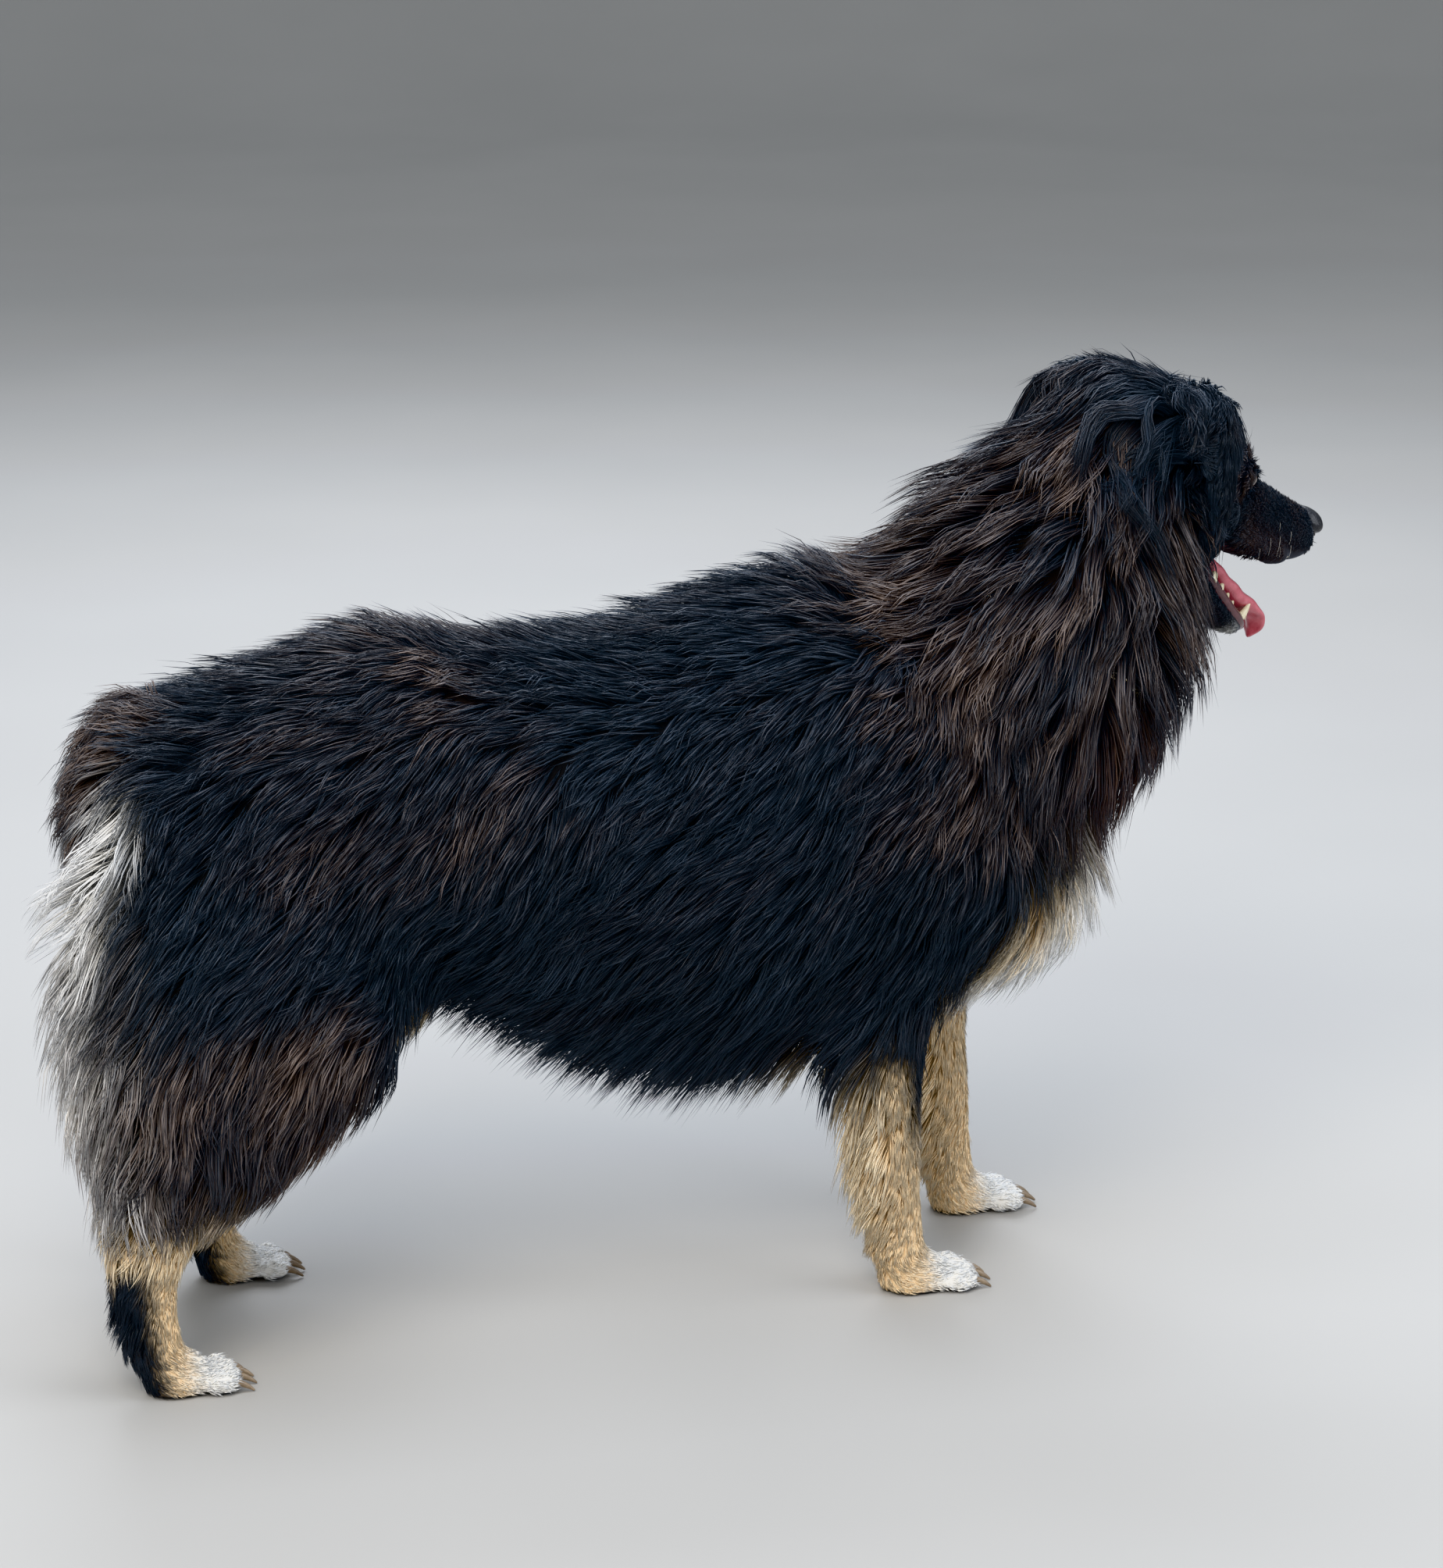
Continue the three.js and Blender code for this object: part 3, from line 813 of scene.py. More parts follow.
    def unwrap(self) -> None:
        """Unwraps the skin by its own shape, for the bake and for the tufts' places in it."""
        mesh = self.piece.data
        mesh.uv_layers.new(name=BAKE_MAP)
        bpy.context.view_layer.objects.active = self.piece
        self.piece.select_set(True)
        bpy.ops.object.mode_set(mode="EDIT")
        bpy.ops.mesh.select_all(action="SELECT")
        bpy.ops.uv.smart_project(angle_limit=math.radians(66), island_margin=0.001)
        bpy.ops.object.mode_set(mode="OBJECT")
        self.piece.select_set(False)


@dataclass
class Eyes:
    """Two eyeballs with a clear bulge over a brown iris, and the lids round them."""

    radius: float = 0.0105
    gaze: float = 32.0
    gap_half_width: float = 0.008
    gap_rise: float = 0.0044
    gap_fall: float = 0.0038
    slant: float = 8.0
    # (spread from the gap's edge, distance from the eyeball's middle in millimetres)
    lid_profile: tuple = (
        (1.0, 10.4), (1.0, 11.2), (1.15, 11.7), (1.5, 11.8), (2.0, 11.2), (2.6, 9.6), (2.0, 8.8), (1.1, 9.6),
    )

    def frame(self, side: Side) -> Matrix:
        """An eyeball's own frame: +Z out along its gaze, +X towards the nose, +Y up."""
        centre = HEAD.centre("eye_" + side.word)
        head = HEAD.matrix().to_3x3().to_4x4()
        gaze = Matrix.Rotation(math.radians(self.gaze * side.value), 4, "Z")
        out = (head @ gaze @ Vector((1, 0, 0.05))).normalized()
        up = (head @ Vector((0, 0, 1))).normalized()
        forward = up.cross(out).normalized() * side.value
        up = out.cross(forward).normalized() * side.value
        basis = Matrix((forward, up, out)).transposed().to_4x4()
        return Matrix.Translation(centre) @ basis

    def gap(self, angle: float) -> tuple[float, float]:
        """A point on the edge of the gap between the lids, in the eyeball's frame."""
        tilt = math.radians(self.slant)
        x = self.gap_half_width * math.cos(angle)
        rise = self.gap_rise if math.sin(angle) > 0 else self.gap_fall
        y = rise * math.copysign(abs(math.sin(angle)) ** 1.15, math.sin(angle))
        return x * math.cos(tilt) + y * math.sin(tilt), -x * math.sin(tilt) + y * math.cos(tilt)

    def lid_rim(self, side: Side) -> Piece:
        """The lids as one closed ring of skin, from a bent torus of circles.

        Args:
            side: Which eye.

        Returns:
            The ring as an object.
        """
        steps = 40
        place = self.frame(side)
        shape = bmesh.new()
        rings = []
        for spread, reach in self.lid_profile:
            taller = 1.25 if spread > 1.3 else 1.0
            ring = []
            for i in range(steps):
                x, y = self.gap(2 * math.pi * i / steps)
                way = Vector((x * spread, y * spread * taller, 0.0068)).normalized()
                ring.append(shape.verts.new(place @ (way * reach / 1000)))
            rings.append([shape.edges.new((ring[i], ring[(i + 1) % steps])) for i in range(steps)])
        for a, b in zip(rings, rings[1:] + rings[:1]):
            bmesh.ops.bridge_loops(shape, edges=a + b)
        bmesh.ops.recalc_face_normals(shape, faces=shape.faces[:])
        return from_bmesh("lids_" + side.word, shape)

    def build(self, side: Side) -> Piece:
        """Models an eyeball with its cornea.

        Args:
            side: Which eye.

        Returns:
            The eyeball.
        """
        shape = bmesh.new()
        bmesh.ops.create_uvsphere(shape, u_segments=48, v_segments=32, radius=self.radius)
        place = self.frame(side)
        for vert in shape.verts:
            off = math.hypot(vert.co.x, vert.co.y)
            bulge = 0.0009 * max(0.0, 1 - (off / 0.0078) ** 2) if vert.co.z > 0 else 0.0
            vert.co = place @ (vert.co + Vector((0, 0, bulge)))
        piece = from_bmesh("eyeball_" + side.word, shape)
        self.measure(piece.data, place)
        return fitted(piece, ["eye_" + side.word])

    def measure(self, mesh: Mesh, place: Matrix) -> None:
        """Writes each point's distance from the gaze, in millimetres, and its angle, for the iris."""
        points = transformed(Surface.of(mesh).points, place.inverted())
        off = np.hypot(points[:, 0], points[:, 1]) * 1000
        off = np.where(points[:, 2] > 0, off, 20.0)
        write(mesh, {"off_gaze": off, "round_gaze": np.arctan2(points[:, 1], points[:, 0])})


EYES = Eyes()


# ---- nose, mouth, claws and chain


@dataclass
class Nose:
    """The bare nose leather with its two nostrils and the groove between them."""

    centre: Place = (0.159, 0.0, 0.001)
    half: Place = (0.013, 0.0168, 0.0128)
    nostril: Place = (0.17, 0.0074, 0.0)

    def build(self) -> Piece:
        """Models the nose from a finely divided ball.

        Returns:
            The nose.
        """
        shape = bmesh.new()
        bmesh.ops.create_icosphere(shape, subdivisions=6, radius=1.0)
        head = HEAD.matrix()
        for vert in shape.verts:
            x, y, z = vert.co
            square = (abs(y) ** 2.6 + abs(z) ** 2.6 + abs(x) ** 2.6) ** (1 / 2.6)
            x, y, z = x / square, y / square, z / square
            narrow = 1 - 0.22 * max(0.0, -z) - 0.1 * max(0.0, z)
            spot = Vector((x * self.half[0] - 0.0035 * z * z, y * self.half[1] * narrow, z * self.half[2]))
            spot += Vector(self.centre)
            vert.co = head @ (spot + self.carved(spot))
        return fitted(from_bmesh("nose_leather", shape), ["nose"])

    def carved(self, spot: Vector) -> Vector:
        """How far a point of the nose sinks for the nostrils, their slits and the groove."""
        _, ny, nz = self.nostril
        side = abs(spot.y)
        hole = math.exp(-(((side - ny) / 0.003) ** 2) - ((spot.z - nz) / 0.0032) ** 2)
        slit_z = nz - 0.0028 - 0.25 * (side - ny)
        slit = math.exp(-(((spot.z - slit_z) / 0.0014) ** 2))
        slit *= float(side > ny) * min(1.0, (side - ny) / 0.002)
        front = 1 / (1 + math.exp(-(spot.x - 0.156) / 0.0016))
        groove = math.exp(-((spot.y / 0.001) ** 2)) * (1 / (1 + math.exp((spot.z - 0.003) / 0.0015)))
        wing = 0.001 * math.exp(-(((side - ny - 0.0045) / 0.003) ** 2) - ((spot.z - 0.002) / 0.004) ** 2)
        inwards = -0.0062 * hole * front - 0.0016 * groove * front
        across = -math.copysign(0.0024 * slit * float(spot.x > 0.15), spot.y) + math.copysign(wing, spot.y)
        return Vector((inwards, across, 0))


@dataclass
class Mouth:
    """The tongue and the teeth that the open mouth shows."""

    tongue: tuple = (
        (0.02, 0, -0.007, 0.015, 0.008), (0.05, 0, -0.0025, 0.0176, 0.0078),
        (0.085, 0, 0.0005, 0.0184, 0.0082), (0.112, 0, 0.004, 0.0176, 0.0082),
        (0.13, 0, 0.0095, 0.0164, 0.0062), (0.145, 0, 0.0122, 0.0148, 0.004),
        (0.1552, 0, 0.0078, 0.0124, 0.003), (0.1594, 0, -0.0004, 0.009, 0.0025),
    )
    gum_line: tuple = (
        (0.05, 0.024, -0.012), (0.069, 0.0228, -0.0112), (0.09, 0.0204, -0.0104), (0.11, 0.0176, -0.0094),
        (0.126, 0.0146, -0.0076), (0.137, 0.0088, -0.0056), (0.141, 0.0, -0.0046),
    )
    # (x, reach, half width) of one side's cheek teeth
    cheek_teeth: tuple = (
        (0.116, 0.005, 0.0026), (0.107, 0.0062, 0.0036), (0.097, 0.0066, 0.0042),
        (0.085, 0.0072, 0.005), (0.07, 0.008, 0.0066),
    )
    incisors: int = 6
    lower_canine: Place = (0.127, 0.0145, -0.0035)
    upper_canine: Place = (0.138, 0.0165, -0.026)

    def build_tongue(self) -> Piece:
        """Models the tongue with a furrow along its middle and a soft wavy edge."""
        shape = bmesh.new()
        jaw = HEAD.jaw()
        lofted(shape, self.tongue, Matrix(), sides=36, rings=64, ends=(0.1, 0.16), power=2.3)
        for vert in shape.verts:
            x, y, z = vert.co
            along = min(1.0, max(0.0, (x - 0.02) / 0.14))
            furrow = 0.0026 * math.exp(-((y / 0.0035) ** 2)) * min(1.0, along * 4)
            cup = 0.004 * (y / 0.018) ** 2 * (1 - 0.6 * along)
            wave = 0.0007 * math.sin(x * 260) * min(1.0, abs(y) / 0.016) ** 3
            vert.co = jaw @ Vector((x, y, z - furrow + cup + wave))
        return fitted(from_bmesh("tongue_flesh", shape), ["tongue"])

    def build_gums(self) -> Piece:
        """The ridge of gum that the lower teeth stand in."""
        shape = bmesh.new()
        line = [(x, -y, z) for x, y, z in self.gum_line] + list(reversed(self.gum_line[:-1]))
        ridge = [(*spot, 0.0036, 0.0046) for spot in line]
        lofted(shape, ridge, HEAD.jaw(), sides=14, rings=64, ends=(0.04, 0.04))
        return fitted(from_bmesh("lower_gums", shape))

    def fang(self, shape: Shape, root: tuple, reach: float, half: float, lean: float, place: Matrix) -> None:
        """Adds a curved, pointed tooth.

        Args:
            shape: The bmesh of the teeth.
            root: Where it leaves the gum.
            reach: How far it stands, with its sign along Z.
            half: Half its width at the root.
            lean: How far its tip curves along X.
            place: The frame of its jaw.
        """
        x, y, z = root
        stations = []
        for t in (0.0, 0.25, 0.5, 0.75, 1.0):
            size = half * (1 - 0.85 * t**1.6)
            out = 0.08 * reach * t * math.copysign(1, y)
            stations.append((x + lean * t * t, y + out, z + reach * t, size * 0.75, size))
        lofted(shape, stations, place, sides=12, rings=12, up=(1, 0, 0), ends=(0.05, 0.12))

    def lower_teeth(self) -> Piece:
        """The incisors, canines and cheek teeth of the lower jaw."""
        shape = bmesh.new()
        jaw = HEAD.jaw()
        for i in range(self.incisors):
            spread = (i - 2.5) / 2.5
            root = (0.142 - 0.006 * spread**2, 0.0075 * spread + 1e-5, -0.0015)
            self.fang(shape, root, 0.0062, 0.002, 0.001, jaw)
        for side in Side:
            x, y, z = self.lower_canine
            self.fang(shape, (x, side.value * y, z - 0.002), 0.016, 0.004, -0.003, jaw)
            for x, reach, half in self.cheek_teeth:
                share = (0.12 - x) / 0.05
                y = 0.0168 + 0.0056 * share
                self.fang(shape, (x, side.value * y, -0.009 - 0.0018 * share), reach, half, -0.0004, jaw)
        nodes = ["teeth_lower_front"]
        for side in Side:
            nodes += ["tooth_lower_" + side.word, "teeth_lower_" + side.word]
        return fitted(from_bmesh("lower_teeth", shape), nodes)

    def upper_teeth(self) -> Piece:
        """The incisors and canines of the upper jaw, mostly behind the lips."""
        shape = bmesh.new()
        head = HEAD.matrix()
        for i in range(self.incisors):
            spread = (i - 2.5) / 2.5
            root = (0.154 - 0.006 * spread**2, 0.0085 * spread + 1e-5, -0.024)
            self.fang(shape, root, -0.007, 0.0023, 0.0005, head)
        for side in Side:
            x, y, z = self.upper_canine
            self.fang(shape, (x, side.value * y, z), -0.0125, 0.0038, -0.002, head)
        nodes = ["teeth_upper_front", "tooth_upper_left", "tooth_upper_right"]
        return fitted(from_bmesh("upper_teeth", shape), nodes)


@dataclass
class Whiskers:
    """Long stiff hairs on the muzzle."""

    # (x, z, length) of one side's whiskers, in the head's frame
    rows: tuple = (
        (0.128, -0.012, 0.036), (0.118, -0.018, 0.046), (0.108, -0.024, 0.052), (0.122, -0.028, 0.04),
        (0.1, -0.032, 0.046), (0.134, -0.022, 0.03), (0.112, -0.01, 0.034),
    )
    half: float = 0.00016

    def build(self) -> Piece:
        """Models every whisker as a thin bent spindle."""
        shape = bmesh.new()
        head = HEAD.matrix()
        for side in Side:
            for i, (x, z, length) in enumerate(self.rows):
                stations = []
                for t in (0.0, 0.35, 0.7, 1.0):
                    out = 0.02 + 0.72 * length * t
                    back = 0.5 * length * t + 0.1 * length * t * t
                    drop = length * ((0.3 + 0.12 * math.sin(i * 1.7)) * t + 0.16 * t * t)
                    size = self.half * (1 - 0.8 * t)
                    stations.append((x - back, side.value * out, z - drop, size, size))
                lofted(shape, stations, head, sides=5, rings=9, ends=(0.02, 0.02))
        return fitted(from_bmesh("whiskers", shape))


@dataclass
class Claws:
    """Four curved claws on every paw."""

    half: float = 0.003
    root: float = 0.006

    def build(self, paw: str, side: Side) -> Piece:
        """Models the claws of one paw.

        Args:
            paw: "fore" or "hind".
            side: Which side's paw.

        Returns:
            The four claws as one piece.
        """
        shape = bmesh.new()
        nodes = [f"{paw}_claw_{side.word}_{i}" for i in range(1, 5)]
        for node in nodes:
            low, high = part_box(node)
            y = (low.y + high.y) / 2
            back, tip, top, ground = low.x - self.root, high.x, high.z - 0.001, low.z
            stations = []
            for t in (0.0, 0.3, 0.6, 0.85, 1.0):
                size = self.half * (1 - 0.75 * t**1.8)
                z = top - (top - ground - 0.001) * t**1.8 - 0.001
                stations.append((back + (tip - back) * t, y, z, size * 0.8, size))
            lofted(shape, stations, Matrix(), sides=12, rings=14, ends=(0.05, 0.12))
        return fitted(from_bmesh(f"claws_{paw}_{side.word}", shape), nodes)


@dataclass
class Chain:
    """A fine chain of oval links that lies in the ruff."""

    pitch: float = 0.0062
    wire: float = 0.0009
    link_half: tuple[float, float] = (0.0044, 0.0028)
    sunk: float = 0.041

    def line(self, steps: int) -> tuple[Array, Array]:
        """The chain's closed line, found from the CAD ring.

        Args:
            steps: How many places to give.

        Returns:
            The places and the ring's axis.
        """
        points = Surface.of(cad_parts["collar"].data).points
        centre = points.mean(axis=0)
        _, _, axes = np.linalg.svd(points - centre)
        flat = (points - centre) @ axes[:2].T
        angle, reach = np.arctan2(flat[:, 1], flat[:, 0]), np.hypot(flat[:, 0], flat[:, 1])
        wanted = np.linspace(-math.pi, math.pi, 721)
        apart = (angle[None, :] - wanted[:, None] + math.pi) % (2 * math.pi) - math.pi
        weights = np.exp(-(apart / 0.12) ** 2)
        smooth = (weights * reach).sum(axis=1) / weights.sum(axis=1) - self.sunk
        loop = centre + (np.cos(wanted) * smooth)[:, None] * axes[0]
        loop = loop + (np.sin(wanted) * smooth)[:, None] * axes[1]
        length = np.concatenate([[0], np.cumsum(np.linalg.norm(np.diff(loop, axis=0), axis=1))])
        at = np.arange(steps) / steps * length[-1]
        return np.stack([np.interp(at, length, loop[:, i]) for i in range(3)], axis=1), axes[2]

    def link(self) -> Surface:
        """One oval link, from a spun circle of wire."""
        shape = bmesh.new()
        upright = Matrix.Translation((1, 0, 0)) @ Matrix.Rotation(math.pi / 2, 4, "X")
        bmesh.ops.create_circle(shape, segments=5, radius=self.wire, matrix=upright)
        wire = shape.verts[:] + shape.edges[:]
        bmesh.ops.spin(
            shape, geom=wire, cent=(0, 0, 0), axis=(0, 0, 1), angle=2 * math.pi, steps=12, use_merge=True
        )
        for vert in shape.verts:
            around = math.atan2(vert.co.y, vert.co.x)
            off = math.hypot(vert.co.x, vert.co.y) - 1
            vert.co.x = math.cos(around) * (self.link_half[0] + off)
            vert.co.y = math.sin(around) * (self.link_half[1] + off)
        bmesh.ops.recalc_face_normals(shape, faces=shape.faces[:])
        mesh = bpy.data.meshes.new("link")
        shape.to_mesh(mesh)
        shape.free()
        found = Surface.of(mesh)
        bpy.data.meshes.remove(mesh)
        return found

    def build(self) -> Piece:
        """Strings the links round the neck, every second one on edge."""
        rough, _ = self.line(400)
        total = np.linalg.norm(np.roll(rough, -1, axis=0) - rough, axis=1).sum()
        count = 2 * round(total / self.pitch / 2)
        places, axis = self.line(count)
        ahead = unit(np.roll(places, -1, axis=0) - np.roll(places, 1, axis=0))
        out = unit(np.cross(ahead, axis))
        link = self.link()
        points, triangles = [], []
        for i in range(count):
            side, top = (out[i], axis) if i % 2 else (axis, -out[i])
            side, top = unit(side + 0.6 * top), unit(top - 0.6 * side)
            basis = np.stack([ahead[i], side, top])
            points.append(places[i] + link.points @ basis)
            triangles.append(link.triangles + i * len(link.points))
        mesh = mesh_of("chain", np.concatenate(points), np.concatenate(triangles))
        return fitted(as_object("chain_collar", mesh), ["collar"])


# ---- markings and the lie of the coat

# Where the ruff parts and the chain glints through.
CHAIN_SHOWS = (0.261, -0.112, 0.512)
# Where the coat dips behind each shoulder and before each hip: a place, its size and how deep it is. The
# hair there is also painted darker, as shade.
HOLLOWS = (
    ((-0.016, 0.125, 0.486), 0.04, 0.5),
    ((-0.02, 0.12, 0.44), 0.05, 0.25),
    ((-0.245, 0.115, 0.44), 0.055, 0.22),
)


@dataclass(frozen=True)
class Pelt:
    """The hair of one part of the body, in metres and degrees."""

    length: float
    width: float
    spacing: float
    lift: float
    lock: float
    gather: float
    wave: float
    hang: float
    reach: float
    stand: float


# Each in the order of Pelt's own fields.
PELTS = {
    Part.TRUNK: Pelt(0.056, 0.0013, 0.0036, 24, 0.013, 0.3, 0.0036, 0.12, 0.11, 0.05),
    Part.NECK: Pelt(0.082, 0.0014, 0.0036, 30, 0.017, 0.4, 0.0055, 0.2, 0.13, 0.08),
    Part.HEAD: Pelt(0.011, 0.001, 0.0016, 18, 0.006, 0.3, 0.0006, 0.0, 0.11, 0.0),
    Part.EAR: Pelt(0.018, 0.001, 0.0018, 12, 0.007, 0.4, 0.001, 0.1, 0.006, 0.0),
    Part.JAW: Pelt(0.006, 0.0009, 0.0015, 15, 0.005, 0.3, 0.0003, 0.0, 0.01, 0.0),
    Part.TAIL: Pelt(0.07, 0.0013, 0.0024, 50, 0.01, 0.4, 0.0035, 0.05, 0.11, 0.75),
    Part.THIGH: Pelt(0.056, 0.0013, 0.0036, 22, 0.013, 0.3, 0.004, 0.2, 0.11, 0.05),
    Part.HOCK: Pelt(0.013, 0.001, 0.0018, 14, 0.007, 0.25, 0.0008, 0.1, 0.04, 0.0),
    Part.FORELEG: Pelt(0.015, 0.001, 0.0018, 14, 0.007, 0.25, 0.0008, 0.1, 0.07, 0.0),
    Part.PAW: Pelt(0.009, 0.001, 0.0017, 16, 0.006, 0.3, 0.0004, 0.0, 0.008, 0.0),
}


@dataclass
class Lie:
    """What grows at each point of the skin: its part, its markings and how its hair lies."""

    skin: Skin
    fields: dict[str, Array] = field(default_factory=dict)

    def __post_init__(self) -> None:
        """Reads the skin's points in the dog's, the head's and the jaw's frame."""
        self.surface = self.skin.surface
        self.points = self.surface.points
        self.part = self.skin.nearest_part(self.points, list(Part))
        self.local = transformed(self.points, self.skin.head.inverted())
        self.in_jaw = transformed(self.points, self.skin.jaw.inverted())
        self.head_up = turned(self.surface.normals, self.skin.head.inverted())[:, 2]

    def build(self) -> None:
        """Works out every field on the skin's points."""
        self.hair()
        self.fields["bare"] = self.bare()
        self.fields.update(self.markings())
        self.flow = self.combed()

    def on(self, *parts: Part) -> Array:
        """1 on the points of some parts, and 0 elsewhere."""
        return np.isin(self.part, [p.value for p in parts]).astype(float)

    def hair(self) -> None:
        """Fills in the size and stance of the hair."""
        x, _, z = self.points.T
        nx, _, nz = self.surface.normals.T
        lx, ly, lz = self.local.T
        jx, _, jz = self.in_jaw.T
        found = {}
        for name in Pelt.__annotations__:
            found[name] = np.array([getattr(PELTS[p], name) for p in Part])[self.part]
        trunk, neck, head, ear, jaw, tail, thigh, hock, foreleg, _ = map(self.on, Part)
        belly = trunk * ramp(-nz, 0.2, 0.7) * ramp(z, 0.3, 0.24)
        chest = trunk * ramp(x, 0.24, 0.31)
        back = trunk * ramp(nz, 0.5, 0.9)
        breech = thigh * ramp(-nx, 0.2, 0.7)
        feather = foreleg * ramp(-nx, 0.2, 0.7) * ramp(z, 0.055, 0.13)
        crown = head * ramp(lx, 0.045, -0.03) * ramp(lz, -0.03, 0.03)
        nape = head * ramp(lx, -0.02, -0.07)
        away = np.sqrt((lx - 0.03) ** 2 + (np.abs(ly) - 0.04) ** 2 + (lz - 0.008) ** 2)
        temple = head * ramp(away, 0.028, 0.014) * ramp(lx, 0.042, 0.036)
        cheek = head * ramp(lx, 0.035, -0.015) * ramp(lz, 0.01, -0.03)
        muzzle = head * ramp(lx, 0.055, 0.085)
        crest = ear * ramp(self.head_up, 0.2, 0.65)
        fringe = ear * most(ramp(lx, -0.054, -0.07), 0.45 * ramp(lz, -0.02, -0.045))
        tress = head * ramp(lx, -0.042, -0.06) * ramp(np.abs(ly), 0.034, 0.046) * ramp(lz, -0.045, -0.015)
        ankle = thigh * ramp(z, 0.2, 0.145)
        beard = jaw * ramp(jx, 0.09, 0.045) * ramp(jz, -0.012, -0.024)

        loose = belly * ramp(x, 0.1, -0.02)
        heel = hock * ramp(-nx, 0.2, 0.7)

        def lean(name: str, value: float, share: Array) -> None:
            found[name] = mix(found[name], value, share)

        for share, length in ((belly, 0.072), (loose, 0.084), (chest, 0.08), (breech, 0.084)):
            lean("length", length, share)
        for share, *sizes in (
            (feather, 0.06, 0.0012, 0.0028, 0.011), (crown, 0.034, 0.0012, 0.0021, 0.011),
            (nape, 0.082, 0.0014, 0.003, 0.015), (cheek, 0.034, 0.0012, 0.0022, 0.011),
            (temple, 0.026, 0.0011, 0.0018, 0.008), (muzzle, 0.0048, 0.0008, 0.0013, 0.004),
            (crest, 0.03, 0.0012, 0.0016, 0.008), (fringe, 0.05, 0.0012, 0.0022, 0.011),
            (tress, 0.116, 0.0013, 0.0022, 0.016), (beard, 0.046, 0.0012, 0.0024, 0.011),
            (ankle, 0.034, 0.0012, 0.0026, 0.01), (heel, 0.022, 0.0011, 0.002, 0.009),
        ):
            for name, size in zip(("length", "width", "spacing", "lock"), sizes):
                lean(name, size, share)
        for name, steps in {
            "hang": (
                (0.6, belly), (0.6, loose), (0.3, chest), (0.3, breech), (0.55, feather), (0.3, fringe),
                (0.0, crown), (0.3, tress), (0.8, beard),
            ),
            "lift": ((34, back), (30, breech), (30, feather), (34, crown), (26, cheek), (40, temple)),
            "gather": ((0.45, most(crown, cheek)), (0.5, fringe), (0.62, tress)),
            "wave": ((0.004, crown), (0.003, cheek), (0.006, fringe), (0.013, tress), (0.005, back)),
            "stand": (
                (0.22, back), (0.22, breech), (0.3, crown), (0.25, cheek), (0.55, temple), (0.3, feather),
                (0.15, chest), (0.15, nape), (0.05, tress), (0.3, crest),
            ),
        }.items():
            for value, share in steps:
                lean(name, value, share)
        throat = neck * ramp(nx, 0.2, 0.7)
        seat = trunk * ramp(x, -0.36, -0.42)
        scruff = most(nape, neck * ramp(nz, 0.1, 0.6))
        more = 0.08 + 0.2 * tail + 0.12 * feather + 0.26 * most(chest, throat)
        more = more + 0.36 * most(breech, seat) + 0.22 * scruff + 0.12 * back
        more = more + 0.5 * heel
        found["reach"] = self.reach(found["reach"]) * (1 + more)
        found["reach"] = most(found["reach"], 0.005 * ear + 0.003 * crest, 0.015 * temple)
        for name, values in found.items():
            self.fields[name] = self.surface.smoothed(values, 12)
        self.furrow()
        bulk = np.clip(0.5 + 0.7 * noise(self.points, 0.075, 11), 0, 1)
        tone = 0.5 + 0.55 * noise(self.points, 0.11, 13) + 0.35 * noise(self.points, 0.04, 14)
        # Random tone, with painted shade: darker in the hollows behind the shoulders and before the hips.
        self.fields["tone"] = np.clip(tone, 0, 1) * (1 - self.hollows)
        self.fields["bulk"] = most(bulk, self.surface.smoothed(tress, 6))
        self.fields["swirl"] = noise(self.points, 0.12, 12)
        # Painted shade on the skin: darker under long hair, so that the gaps between tufts look shadowed,
        # and darker on the ears.
        self.fields["deep"] = most(ramp(self.fields["length"], 0.014, 0.04), 0.8 * ear)

    def furrow(self) -> None:
        """Presses the ruff down under the chain, most where the chain shows."""
        line, axis = Chain().line(240)
        tree = point_tree(line)
        points = self.points
        found = [tree.find(place) for place in points.tolist()]
        off = np.abs(((points - line[[f[1] for f in found]]) * axis).sum(axis=1))
        near = np.array([f[2] for f in found]) < 0.1
        pressed = 0.14 * np.exp(-((off / 0.016) ** 2)) * near
        spot = np.linalg.norm(points - np.array(CHAIN_SHOWS), axis=1)
        pressed = most(pressed, 0.78 * ramp(spot, 0.056, 0.034) * np.exp(-((off / 0.02) ** 2)))
        mirrored = points * np.array([1, -1, 1])
        self.hollows = np.zeros(len(points))
        for place, size, depth in HOLLOWS:
            for there in (points, mirrored):
                away = np.linalg.norm(there - np.array(place), axis=1)
                self.hollows = most(self.hollows, depth * np.exp(-((away / size) ** 2)))
        self.fields["reach"] *= (1 - pressed) * (1 - self.hollows)

    def reach(self, look: Array) -> Array:
        """How far the coat may stand off the skin before it leaves the solids.

        Args:
            look: How far to look for the solids' surface, for each point.

        Returns:
            The distance to the solids' outer self.surface.
        """
        tree, _ = solids(list(Part))
        out = unit(self.surface.smoothed(self.surface.normals, 3))
        result = np.zeros(len(out))
        for i, (p, n, limit) in enumerate(zip(self.points.tolist(), out.tolist(), look.tolist())):
            origin, way = Vector(p), Vector(n)
            gone = 0.0
            while gone < limit:
                hit = tree.ray_cast(origin + way * gone, way, limit - gone)
                if hit[0] is None:
                    break
                gone += hit[3]
                if hit[1].dot(way) > 0:
                    result[i] = gone
                gone += 5e-4
        return np.maximum(result, 0.0012)

